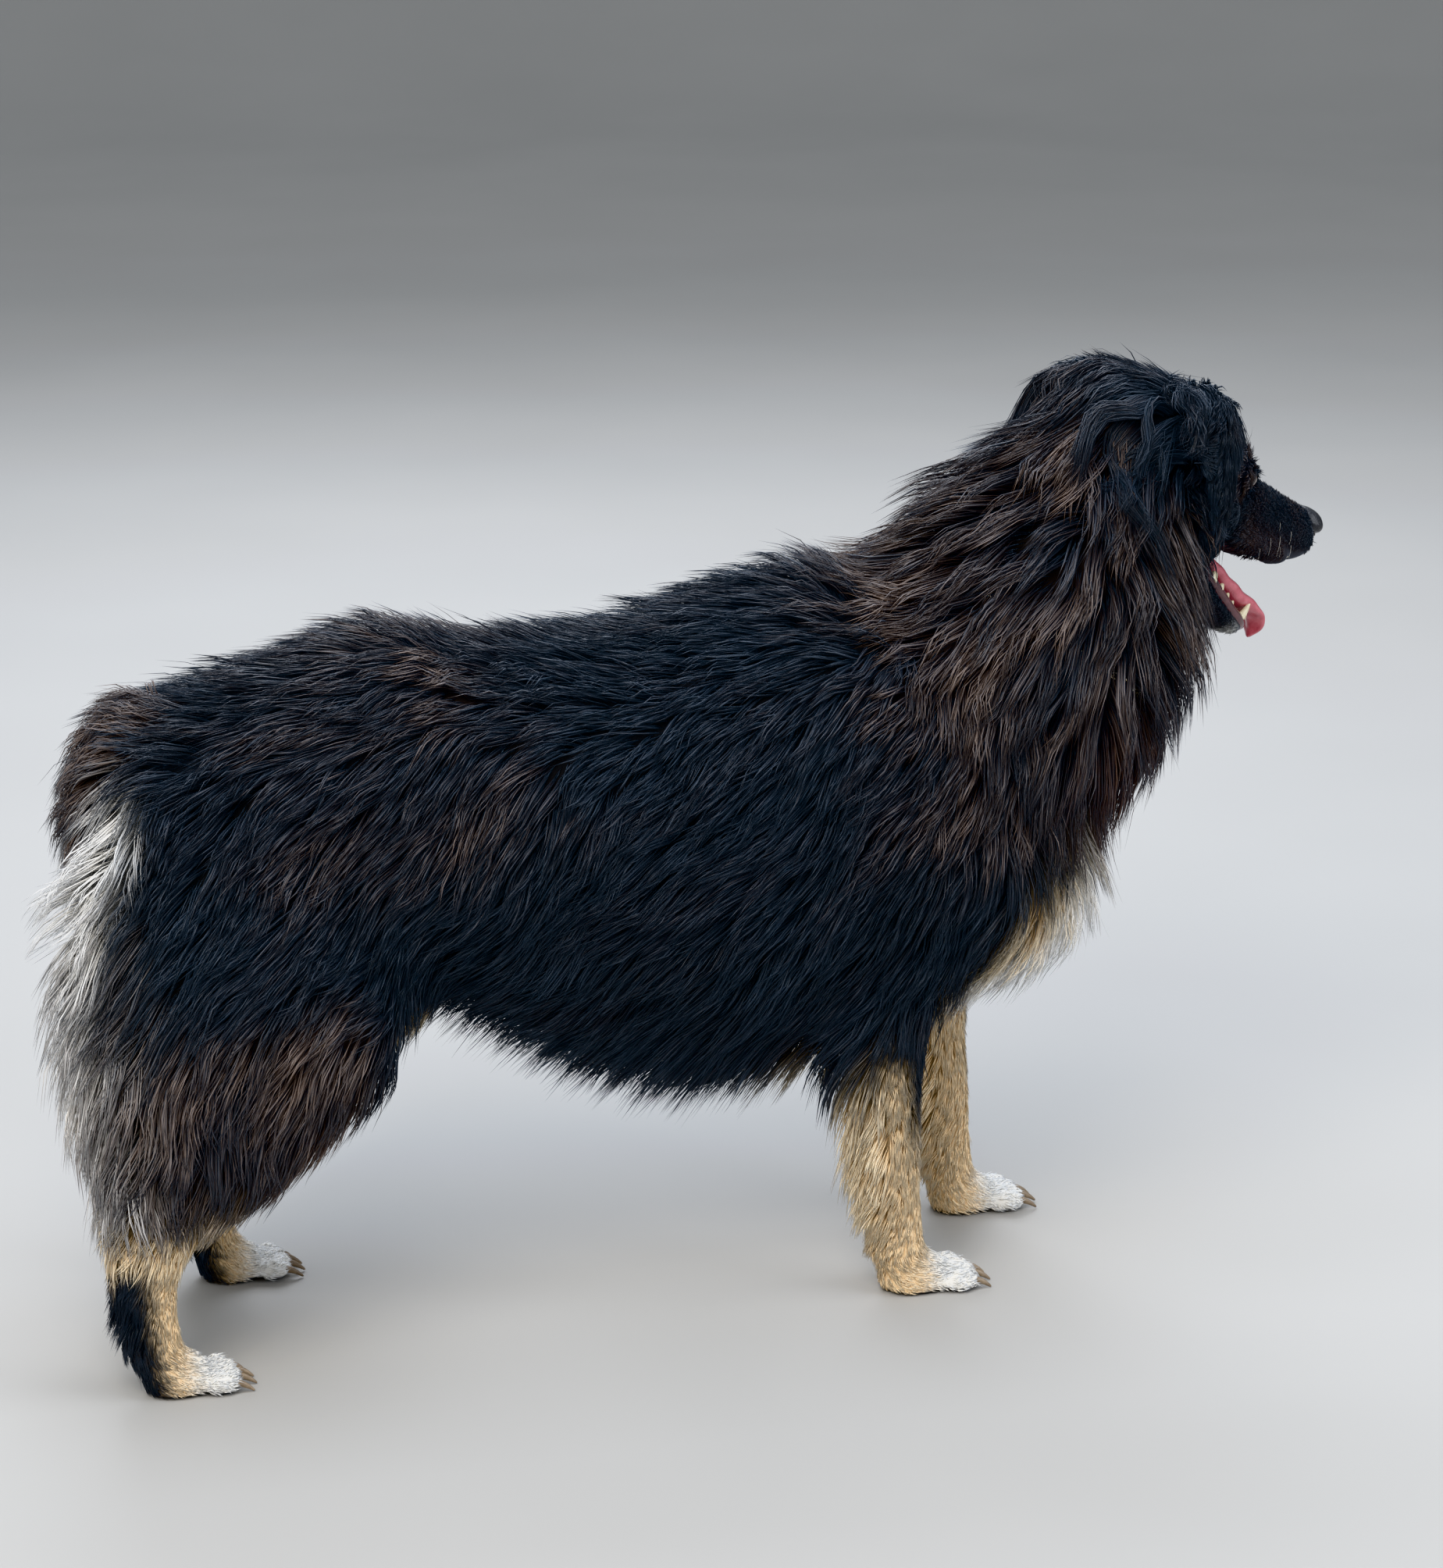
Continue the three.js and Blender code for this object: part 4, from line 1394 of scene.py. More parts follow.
    def bare(self) -> Array:
        """Where no hair grows: in the mouth, on the lids' edges and under the nose and the paws."""
        jx, jy, jz = self.in_jaw.T
        lx, ly, lz = self.local.T
        narrow = 0.05 * np.clip(lx - 0.07, 0, 0.1)
        roof = ramp(np.abs(ly), 0.03 - narrow, 0.022 - narrow)
        roof = roof * ramp(-self.head_up, 0.0, 0.5) * ramp(lx, 0.0, 0.03) * (self.part == Part.HEAD.value)
        floor = ramp(jz, -0.014, -0.009) * ramp(jx, 0.01, 0.03) * self.on(Part.JAW)
        near_mouth = (jx > 0.01) & (jx < 0.13) & (np.abs(jy) < 0.026) & (jz > -0.012) & (lz < -0.026)
        bare = most(roof, floor, near_mouth.astype(float))
        for side in Side:
            eye = transformed(self.points, EYES.frame(side).inverted())
            off = np.hypot(eye[:, 0] / 1.15, eye[:, 1])
            bare = most(bare, ramp(off, 0.0088, 0.0066) * (eye[:, 2] > 0))
        from_nose = (self.local - np.array([0.16, 0, 0.0])) / np.array([0.0125, 0.0175, 0.015])
        nose = np.linalg.norm(from_nose, axis=1)
        bare = most(bare, ramp(nose, 1.15, 0.95))
        sole = ramp(self.points[:, 2], 0.006, 0.002)
        return most(bare, sole)

    def markings(self) -> dict[str, Array]:
        """The tan, rust, white and sun-browned shares of the coat's colour."""
        x, y, z = self.points.T
        nx, ny, nz = self.surface.normals.T
        lx, ly, lz = self.local.T
        jx, _, jz = self.in_jaw.T
        h = z + noise(self.points, 0.035, 3) * 0.01 + noise(self.points, 0.012, 4) * 0.004
        rough = noise(self.points, 0.03, 6) * 0.01
        trunk, neck, head, _, jaw, tail, thigh, hock, foreleg, paw = map(self.on, Part)
        front, rear = ramp(nx, 0.1, 0.7), ramp(-nx, 0.15, 0.6)
        inner = ramp(-ny * np.sign(y), 0.1, 0.6)
        heel = hock * ramp(-nx, -0.2, 0.15)
        seat = (thigh + trunk) * ramp(x, -0.33, -0.4)
        chest = (trunk + neck) * ramp(x, 0.205, 0.235)
        off = np.abs(y - 0.01) + rough
        rise = 0.045 * (1 - np.clip(off / 0.12, 0, 1) ** 2) + noise(self.points, 0.05, 7) * 0.018
        bib = (trunk + neck) * ramp(x, 0.235, 0.265) * ramp(off, 0.12, 0.09)
        brisket = trunk * ramp(-nz, 0.2, 0.7) * ramp(np.abs(y), 0.085, 0.045) * ramp(x, 0.04, 0.12)
        tan = most(
            foreleg * mix(ramp(h, 0.225, 0.16), ramp(h, 0.18, 0.085), front * (1 - inner)),
            foreleg * inner * ramp(h, 0.25, 0.22),
            hock - heel,
            paw * (1 - ramp(-nx, 0.1, 0.5) * ramp(x, -0.2, -0.3)),
            (thigh + hock - heel) * ramp(h, 0.172, 0.118),
            0.9 * inner * thigh * ramp(h, 0.34, 0.24),
            0.85 * trunk * ramp(x, -0.28, -0.36) * ramp(-nz, 0.0, 0.5) * ramp(h, 0.4, 0.36),
            chest * ramp(off, 0.17, 0.14) * ramp(h, 0.355 + rise, 0.32 + rise),
            0.9 * brisket,
        )
        edge = mix(0.95, 0.7, ramp(h, 0.28, 0.44))
        silver = seat * ramp(-nx, 0.42, 0.95) * ramp(h, 0.12, 0.2) * ramp(h, 0.44, 0.36)
        white = most(
            paw * self.toes(),
            seat * ramp(-nx, edge - 0.16, edge + 0.1) * ramp(h, 0.24, 0.37) * ramp(h, 0.5, 0.465),
            0.62 * silver,
            bib * ramp(h, 0.35 + rise, 0.322 + rise) * ramp(nx, -0.3, 0.2),
            brisket * ramp(x, 0.16, 0.22),
            jaw * 0.6 * ramp(jx, 0.116, 0.134) * ramp(jz, -0.01, -0.016),
        )

        def spot(cx: float, cy: float, cz: float, size: float) -> Array:
            away = np.sqrt((lx - cx) ** 2 + (np.abs(ly) - cy) ** 2 + (lz - cz) ** 2)
            return ramp(away, size, size * 0.45)

        rust = most(
            0.36 * chest * ramp(x, 0.25, 0.31) * ramp(h, 0.52, 0.41),
            head * 0.6 * spot(0.055, 0.02, 0.021, 0.0085),
            head * 0.14 * ramp(lx, 0.06, 0.085) * ramp(lz, -0.012, -0.03),
            jaw * 0.12 * ramp(jz, -0.018, -0.026),
        )
        patches = ramp(noise(self.points, 0.11, 5), -0.4, 0.8)
        loin = trunk * ramp(x, -0.1, -0.22) * ramp(x, -0.4, -0.3) * ramp(z, 0.36, 0.44)
        shoulder = trunk * ramp(x, 0.06, 0.18) * ramp(z, 0.36, 0.46)
        low_thigh = thigh * ramp(z, 0.36, 0.22) * ramp(x, -0.26, -0.35)
        mane = neck * (0.5 + 0.5 * ramp(z, 0.38, 0.52)) * (1 - 0.55 * ramp(lx, -0.19, -0.1))
        brown = 0.08 + 1.15 * mane + 0.7 * shoulder + 0.42 * loin
        brown = (brown + 1.3 * low_thigh) * (0.35 + 0.85 * patches)
        brown = brown + 0.65 * tail + 0.75 * silver + 0.2 * rear * thigh
        brown = brown + 0.06 * (neck + head) * ramp(lx, -0.04, -0.1)
        brown = brown + 0.45 * head * spot(0.03, 0.042, 0.004, 0.03)
        # Greyish brown over the muzzle: partly its own browned hair, partly a painted highlight for light
        # from above.
        muzzle_brown_and_highlight = 0.3 * head * ramp(lx, 0.05, 0.075) * ramp(lx, 0.15, 0.12)
        brown = brown + muzzle_brown_and_highlight * (0.3 + 0.7 * patches)
        found = {"tan": tan, "rust": rust, "white": white, "brown": brown}
        for name, values in found.items():
            found[name] = np.clip(self.surface.smoothed(values, 8 if name == "white" else 3), 0, 1)
        found["gum"] = self.gum()
        return found

    def toes(self) -> Array:
        """How far each point is on the front, white half of its paw."""
        points = self.points
        share = np.zeros(len(points))
        for node in PART_NODES[Part.PAW]:
            low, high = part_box(node)
            off = np.abs(points[:, 1] - (low.y + high.y) / 2)
            inside = (points[:, 0] > low.x - 0.01) & (points[:, 0] < high.x + 0.02) & (off < 0.05)
            along = (points[:, 0] - low.x) / (high.x - low.x)
            share = np.where(inside, ramp(along, 0.3, 0.54), share)
        return share

    def gum(self) -> Array:
        """The wet pink lining of the mouth, inside the dark edge of the lips."""
        jx, jy, jz = self.in_jaw.T
        lx, ly, lz = self.local.T
        half = np.interp(jx, [0.02, 0.064, 0.1, 0.14], [0.0265, 0.0212, 0.0162, 0.0072])
        floor = ramp(np.abs(jy), half, half - 0.003) * ramp(jz, -0.016, -0.011) * (lz < -0.02) * (jz < 0.03)
        half = np.interp(lx, [0.018, 0.07, 0.11, 0.152], [0.0205, 0.0205, 0.0185, 0.0135])
        roof = ramp(np.abs(ly), half - 0.0006, half - 0.0026) * ramp(lz, -0.022, -0.027)
        roof = roof * (jz > 0.004) * ramp(lx, 0.149, 0.143)
        sideways = turned(np.stack([0 * ly, np.sign(ly), 0 * ly], axis=1), self.skin.head)
        outward = (self.surface.normals * sideways).sum(axis=1)
        pink = most(floor, roof) * ramp(outward, 0.3, 0.0) * ramp(jx, 0.0, 0.02)
        return pink * self.on(Part.JAW, Part.HEAD)

    def combed(self) -> Array:
        """The way the hair lies along the skin."""
        x, y, z = self.points.T
        nx, _, nz = self.surface.normals.T
        lx, _, lz = self.local.T
        side = np.clip(y / 0.05, -1, 1)
        one = np.ones(len(x))

        def way(a: float | Array, b: float | Array, c: float | Array) -> Array:
            return np.stack([a * one, b * one, c * one], axis=1)

        back, under = ramp(nz, 0.35, 0.85), ramp(-nz, 0.3, 0.8)
        trunk = mix(way(-0.78, 0, -0.62), way(-0.3, 0, -0.95), ramp(x, 0.02, 0.2))
        trunk = mix(trunk, way(-0.45, 0, -0.88), ramp(x, -0.36, -0.44))
        trunk = mix(trunk, way(-0.95, 0.28 * side, -0.1), back)
        trunk = mix(trunk, way(-0.7, 0.0, -0.4), under * ramp(x, -0.4, -0.32))
        trunk = mix(trunk, way(0.12, -0.15 * side, -1.0), ramp(x, 0.24, 0.31))
        neck = mix(way(-0.45, 0.0, -0.9), way(-0.85, 0.22 * side, -0.45), back)
        neck = mix(neck, way(0.1, -0.1 * side, -1.0), ramp(nx, 0.2, 0.7))
        thigh = mix(way(-0.85, 0, -0.5), way(-0.28, 0, -0.95), ramp(-nx, -0.2, 0.5))
        thigh = mix(thigh, way(-0.3, 0, -0.95), ramp(z, 0.3, 0.2))
        leg = mix(way(-0.08, 0, -1.0), way(-0.55, 0, -0.85), ramp(-nx, 0.2, 0.7))
        paw = mix(way(0.85, 0, -0.35), way(0.1, 0, -1.0), ramp(z, 0.02, 0.045))
        face = mix(way(-0.88, 0, -0.48), way(-1.0, 0.16 * side, 0.04), ramp(self.head_up, 0.2, 0.7))
        face = mix(face, way(-0.55, 0.0, -0.85), ramp(lx, 0.03, -0.02) * ramp(lz, 0.01, -0.03))
        face = turned(face, self.skin.head)
        ear = mix(way(0.22, 0.12 * side, -0.95), way(-0.85, 0.1 * side, -0.55), ramp(lx, -0.035, -0.06))
        ear = mix(ear, way(-0.3, 0.9 * side, -0.3), ramp(self.head_up, 0.25, 0.75))
        ear = turned(ear, self.skin.head)
        jaw = turned(way(-1.0, 0.1 * side, -0.25), self.skin.jaw)
        tail = mix(way(-0.6, 0.4 * side, -0.6), way(-0.9, 0.2 * side, 0.35), ramp(nz, 0.1, 0.7))
        ways = (trunk, neck, face, ear, jaw, tail, thigh, leg, leg, paw)
        flow = sum(combed * self.on(part)[:, None] for combed, part in zip(ways, Part))
        flow = self.flattened(unit(flow), self.surface.normals)
        for _ in range(5):
            flow = self.flattened(self.surface.smoothed(flow, 5), self.surface.normals)
        return flow

    @staticmethod
    def flattened(flow: Array, normals: Array) -> Array:
        """The flow turned to lie in the skin."""
        return unit(flow - normals * (flow * normals).sum(axis=1, keepdims=True))


# ---- the coat


@dataclass(frozen=True)
class Cut:
    """One kind of tuft: the hair lengths it takes, its lock's line, and its own shape.

    The line has steps, keeps its way by inertia and is evened out in rounds. A tuft has a ring at
    each inner stop, strays by its own widths, and a share of them goes wild.
    """

    name: str
    count: int
    least: float
    most: float
    steps: int
    inertia: float
    evening: int
    stray: float
    wild: float
    stops: tuple[float, ...]
    full: tuple[float, ...]


CUTS = (
    Cut(
        "tress", count=2300, least=0.1, most=1.0, steps=16, inertia=0.62, evening=14, stray=1.7, wild=0.0,
        stops=(0.0, 0.08, 0.18, 0.3, 0.43, 0.57, 0.71, 0.85, 1.0), full=(0.7, 0.9, 1.0, 1.0, 0.9, 0.7, 0.5),
    ),
    Cut(
        "long", count=84000, least=0.024, most=0.1, steps=8, inertia=0.45, evening=4, stray=1.7, wild=0.07,
        stops=(0.0, 0.28, 0.66, 1.0), full=(1.0, 0.8),
    ),
    Cut(
        "short", count=65800, least=0.0, most=0.024, steps=8, inertia=0.45, evening=4, stray=0.7, wild=0.07,
        stops=(0.0, 0.36, 1.0), full=(1.0,),
    ),
)


@dataclass
class Coat:
    """The dog's hair as closed mesh blades, gathered in locks."""

    lie: Lie
    limit: int = 196000
    made: list[Piece] = field(default_factory=list)

    def build(self) -> list[Piece]:
        """Grows the whole coat.

        Returns:
            The coat's pieces.
        """
        self.prepare()
        for number, cut in enumerate(CUTS):
            self.grow(cut, number)
        return self.made

    def prepare(self) -> None:
        """Reads the skin's fields on its triangles."""
        surface = self.lie.skin.surface
        tri = surface.triangles
        self.corner = surface.points[tri]
        first, second, third = self.corner.transpose(1, 0, 2)
        cross = np.cross(second - first, third - first)
        self.area = np.linalg.norm(cross, axis=1) / 2
        self.up = unit(surface.normals[tri].mean(axis=1))
        self.flow = unit(self.lie.flow[tri].mean(axis=1))
        self.at = {name: values[tri].mean(axis=1) for name, values in self.lie.fields.items()}
        self.part = self.lie.part[tri[:, 0]]
        self.tree = BVHTree.FromPolygons(surface.points.tolist(), tri.tolist())
        corners = self.lie.skin.piece.data.uv_layers[BAKE_MAP].data
        self.uv = read(corners, "uv", 2, np.float32).reshape(-1, 3, 2).astype(float)

    def scatter(self, weight: Array, count: int, rng: Chance) -> tuple[Array, Array, Array]:
        """Chooses roots on the skin.

        Args:
            weight: How much hair each triangle carries.
            count: How many roots.
            rng: The source of chance.

        Returns:
            Each root's triangle, its place and its place in the bake map.
        """
        edge = np.cumsum(weight)
        pick = np.searchsorted(edge, (np.arange(count) + rng.random(count)) / count * edge[-1])
        pick = np.minimum(pick, len(weight) - 1)
        a, b = rng.random(count), rng.random(count)
        over = a + b > 1
        a, b = np.where(over, 1 - a, a), np.where(over, 1 - b, b)
        share = np.stack([1 - a - b, a, b], axis=1)[:, :, None]
        return pick, (self.corner[pick] * share).sum(1), (self.uv[pick] * share).sum(1)

    def guides(self, pick: Array, roots: Array, cut: Cut, rng: Chance) -> tuple[Array, Array]:
        """Grows the line of each lock along the skin.

        Args:
            pick: The triangle of each root.
            roots: The roots.
            cut: The kind of tuft.
            rng: The source of chance.

        Returns:
            The lines, and the skin's normal along them.
        """
        n = len(pick)
        length = self.at["length"][pick] * rng.uniform(0.82, 1.18, n)
        lift = np.radians(self.at["lift"][pick] * rng.uniform(0.6, 1.4, n))
        hang = self.at["hang"][pick]
        stand = self.at["stand"][pick] * rng.uniform(0.5, 1.3, n)
        layer = (0.78 + 0.22 * self.at["bulk"][pick]) * rng.uniform(0.45, 1.0, n) ** 0.4
        phase = rng.uniform(0, 2 * math.pi, n)
        swing = self.at["wave"][pick] * rng.uniform(0.4, 1.4, n)
        veer = rng.normal(0, 0.12, n) + 0.38 * self.at["swirl"][pick]
        place, up, flow = roots.copy(), self.up[pick].copy(), self.flow[pick].copy()
        side = np.cross(up, flow)
        flow = unit(flow + side * veer[:, None])
        lines, ups = [place.copy()], [up.copy()]
        down = np.array([0.0, 0.0, -1.0])
        previous = unit(flow * np.cos(lift)[:, None] + up * np.sin(lift)[:, None])
        for k in range(1, cut.steps + 1):
            t = k / cut.steps
            free = np.clip(hang * (t * 1.6), 0, 0.95)
            target = unit(mix(flow, unit(down + 0.35 * flow), free))
            target = unit(mix(target, unit(up + 0.5 * flow), stand * (1 - 0.35 * t)))
            ahead = unit(mix(target, previous, cut.inertia))
            place = place + ahead * (length / cut.steps)[:, None]
            hits = [self.tree.find_nearest(p) for p in place.tolist()]
            near = np.array([h[0][:] for h in hits])
            tri = np.array([h[2] for h in hits])
            normal = self.up[tri]
            height = ((place - near) * normal).sum(axis=1)
            reach = np.minimum(self.at["reach"][tri], 0.92 * length)
            wanted = reach * layer * (1 - (1 - t) ** 1.8)
            wanted = mix(wanted, np.clip(height, 0.3 * wanted, reach * layer), np.clip(1.6 * stand, 0, 1))
            wanted = mix(wanted, np.maximum(height, wanted * 0.5), free)
            settled = near + normal * wanted[:, None]
            place = mix(settled, place + normal * np.maximum(wanted * 0.5 - height, 0)[:, None], free)
            up = normal
            flow = unit(self.flow[tri] + np.cross(normal, self.flow[tri]) * veer[:, None])
            previous = ahead
            lines.append(place.copy())
            ups.append(up.copy())
        lines, ups = np.stack(lines, axis=1), np.stack(ups, axis=1)
        for _ in range(cut.evening):
            lines[:, 1:-1] = 0.25 * lines[:, :-2] + 0.5 * lines[:, 1:-1] + 0.25 * lines[:, 2:]
            ups[:, 1:-1] = unit(0.25 * ups[:, :-2] + 0.5 * ups[:, 1:-1] + 0.25 * ups[:, 2:])
        along = np.linspace(0, 1, cut.steps + 1)
        ahead = unit(np.gradient(lines, axis=1))
        across = unit(np.cross(ups, ahead))
        turns = (length / 0.075)[:, None] * along[None, :] * 2 * math.pi + phase[:, None]
        wave = (np.sin(turns) - np.sin(phase)[:, None]) * swing[:, None] * along[None, :] ** 0.7
        return lines + across * wave[:, :, None], ups

    def grow(self, cut: Cut, number: int) -> None:
        """Grows one kind of tuft over the whole body, in pieces.

        Args:
            cut: The kind.
            number: Its number, which seeds its chance.
        """
        rng = np.random.default_rng(SEED + number)
        kind = (self.at["length"] >= cut.least) & (self.at["length"] < cut.most)
        weight = self.area / self.at["spacing"] ** 2 * (1 - self.at["bare"]) ** 2 * kind
        locks = self.area / self.at["lock"] ** 2 * (self.at["bare"] < 0.6) * kind
        LOG.info("%s hair: %.0f tufts wanted, %d made", cut.name, weight.sum(), cut.count)
        lock_pick, lock_roots, _ = self.scatter(locks, int(locks.sum() * 1.15), rng)
        lines, ups = self.guides(lock_pick, lock_roots, cut, rng)
        pick, roots, uv = self.scatter(weight, cut.count, rng)
        tree = point_tree(lock_roots)
        near = [tree.find_n(p, 3) for p in roots.tolist()]
        first = np.array([[h[1] for h in hs] for hs in near])
        towards = (self.flow[pick][:, None, :] * self.flow[lock_pick[first]]).sum(axis=2)
        same = (self.up[pick][:, None, :] * self.up[lock_pick[first]]).sum(axis=2)
        score = np.array([[h[2] for h in hs] for hs in near])
        score = score * (1.6 - 0.6 * towards) * np.where(same < 0.3, 4, 1)
        chosen = first[np.arange(cut.count), score.argmin(axis=1)]
        blades = self.blades(pick, roots, chosen, lock_roots, lines, ups, cut, rng)
        colours = self.colours(pick, chosen, rng)
        self.pieces(pick, uv, blades, colours, cut)

    def blades(
        self, pick: Array, roots: Array, lock: Array, lock_roots: Array,
        lines: Array, ups: Array, cut: Cut, rng: Chance,
    ) -> Array:
        """Shapes each tuft as a thin closed blade in its lock.

        Args:
            pick: Each tuft's triangle.
            roots: Each tuft's root.
            lock: Each tuft's lock.
            lock_roots: The locks' roots.
            lines: The locks' lines.
            ups: The skin's normal along them.
            cut: Their kind.
            rng: The source of chance.

        Returns:
            The blades' points, one row of points for each tuft.
        """
        n = len(pick)
        stops, full = np.array(cut.stops), np.array(cut.full)
        share = rng.uniform(0.62, 1.07, n)
        at = np.clip(stops[None, :] * share[:, None], 0, 1.08) * cut.steps
        low = np.minimum(at.astype(int), cut.steps - 1)
        part = (at - low)[:, :, None]
        line, up = lines[lock], ups[lock]
        rows = np.arange(n)[:, None]
        centre = line[rows, low] * (1 - part) + line[rows, low + 1] * part
        normal = unit(up[rows, low] * (1 - part) + up[rows, low + 1] * part)
        offset = roots - lock_roots[lock]
        tight = rng.uniform(0.4, 1.5, len(lock_roots))[lock]
        gather = (self.at["gather"][pick] * tight)[:, None] * stops[None, :] ** 1.2
        gather = np.minimum(gather, 0.85)
        width = self.at["width"][pick]
        stray = rng.normal(0, 1, (n, 3)) * (width * cut.stray)[:, None]
        wild = (rng.random(n) < cut.wild).astype(float)[:, None] * 1.3 + 1
        centre = centre + offset[:, None, :] * (1 - gather)[:, :, None]
        centre = centre + (stray * wild)[:, None, :] * stops[None, :, None]
        centre[:, 0] -= normal[:, 0] * 0.0012
        ahead = unit(np.gradient(centre, axis=1))
        across = unit(np.cross(normal, ahead))
        twist = rng.normal(0, 0.45, n)[:, None, None]
        top = unit(np.cross(ahead, across))
        cos, sin = np.cos(twist), np.sin(twist)
        across, top = across * cos + top * sin, top * cos - across * sin
        width = width * rng.uniform(0.65, 1.3, n) / wild[:, 0] ** 0.6
        half = (width / 2)[:, None] * full[None, :]
        line, wide, high = centre[:, 1:-1], across[:, 1:-1], top[:, 1:-1]
        left, right = line - wide * half[:, :, None], line + wide * half[:, :, None]
        ridge = line + high * (half * 0.8)[:, :, None]
        rings = np.stack([left, right, ridge], axis=2).reshape(n, len(full) * 3, 3)
        made = np.concatenate([centre[:, :1], rings, centre[:, -1:]], axis=1)
        made[:, :, 2] = np.maximum(made[:, :, 2], 0.0008)
        return np.clip(made, np.array(CAD_BOX[0]) - 0.006, np.array(CAD_BOX[1]) + 0.006)

    def colours(self, pick: Array, lock: Array, rng: Chance) -> dict[str, Array]:
        """Each tuft's own share of the markings, with chance in it."""
        n = len(pick)
        lock_tint = rng.random(int(lock.max()) + 1)[lock]
        found = {}
        for name in ("tan", "rust", "white", "brown"):
            value = self.at[name][pick]
            loose = rng.normal(0, 0.12, n) * 4 * value * (1 - value)
            found[name] = np.clip(value + loose, 0, 1)
        found["brown"] = np.clip(found["brown"] * (0.65 + 0.7 * lock_tint), 0, 1)
        # The tint mixes chance with the tone, so it also carries the painted shade of the hollows.
        found["tint"] = np.clip(0.34 * lock_tint + 0.28 * rng.random(n) + 0.38 * self.at["tone"][pick], 0, 1)
        return found

    def pieces(self, pick: Array, uv: Array, blades: Array, colours: dict[str, Array], cut: Cut) -> None:
        """Cuts the tufts into named pieces and makes their meshes."""
        side = np.where(self.corner[pick, 0, 1] > 0, 0, 1)
        part = self.part[pick]
        names = {
            "trunk": [Part.TRUNK], "ruff": [Part.NECK], "thigh": [Part.THIGH], "tail": [Part.TAIL],
            "face": [Part.HEAD, Part.JAW], "ear": [Part.EAR], "leg": [Part.HOCK, Part.FORELEG, Part.PAW],
        }
        each = 6 * len(cut.full)
        for name, parts in names.items():
            for number, word in enumerate(("left", "right")):
                rows = np.flatnonzero(np.isin(part, [p.value for p in parts]) & (side == number))
                if not len(rows):
                    continue
                cuts = math.ceil(len(rows) * each / self.limit)
                rows = rows[np.argsort(blades[rows, 0, 0], kind="stable")]
                for i, some in enumerate(np.array_split(rows, cuts)):
                    label = "_".join(["coat", name, word, cut.name] + ([str(i + 1)] if cuts > 1 else []))
                    self.piece(label, blades[some], uv[some], {k: v[some] for k, v in colours.items()})

    def piece(self, name: str, blades: Array, uv: Array, colours: dict[str, Array]) -> None:
        """Makes one coat piece from its blades.

        Args:
            name: The piece's name.
            blades: The blades' points.
            uv: Their roots' places in the bake map.
            colours: Their values.
        """
        n, each, _ = blades.shape
        body = (each - 2) // 3
        faces = [(0, 2, 1), (0, 3, 2), (0, 1, 3)]
        for ring in range(body - 1):
            a, b = 1 + ring * 3, 4 + ring * 3
            for i in range(3):
                j = (i + 1) % 3
                faces += [(a + i, a + j, b + j), (a + i, b + j, b + i)]
        last = 1 + (body - 1) * 3
        faces += [(last + i, last + (i + 1) % 3, each - 1) for i in range(3)]
        faces = np.array(faces)
        triangles = (faces[None] + (np.arange(n) * each)[:, None, None]).reshape(-1, 3)
        mesh = mesh_of(name, blades.reshape(-1, 3), triangles)
        steps = np.concatenate([[0.0], np.repeat(np.linspace(0.25, 0.8, body), 3), [1.0]])
        values = {k: np.repeat(v, each) for k, v in colours.items()}
        values["along"] = np.tile(steps, n)
        write(mesh, values)
        across = np.concatenate([[0.0], np.tile([-1.0, 1.0, 0.0], body), [0.0]])
        patch = np.stack([across * 0.0012, (steps - 0.5) * 0.003], axis=1)
        corners = (uv[:, None, :] + patch[None]).reshape(-1, 2)[triangles.ravel()]
        layer = mesh.uv_layers.new(name=BAKE_MAP)
        layer.data.foreach_set("uv", np.ascontiguousarray(np.clip(corners, 0, 1), np.float32).ravel())
        self.made.append(fitted(as_object(name, mesh)))


# ---- finishes

# What the coat's material reads from each tuft, and the skin's from each point.
TUFT_VALUES = ("along", "tint", "tan", "rust", "white", "brown")
SKIN_VALUES = ("tan", "rust", "white", "brown", "gum", "bare", "deep")


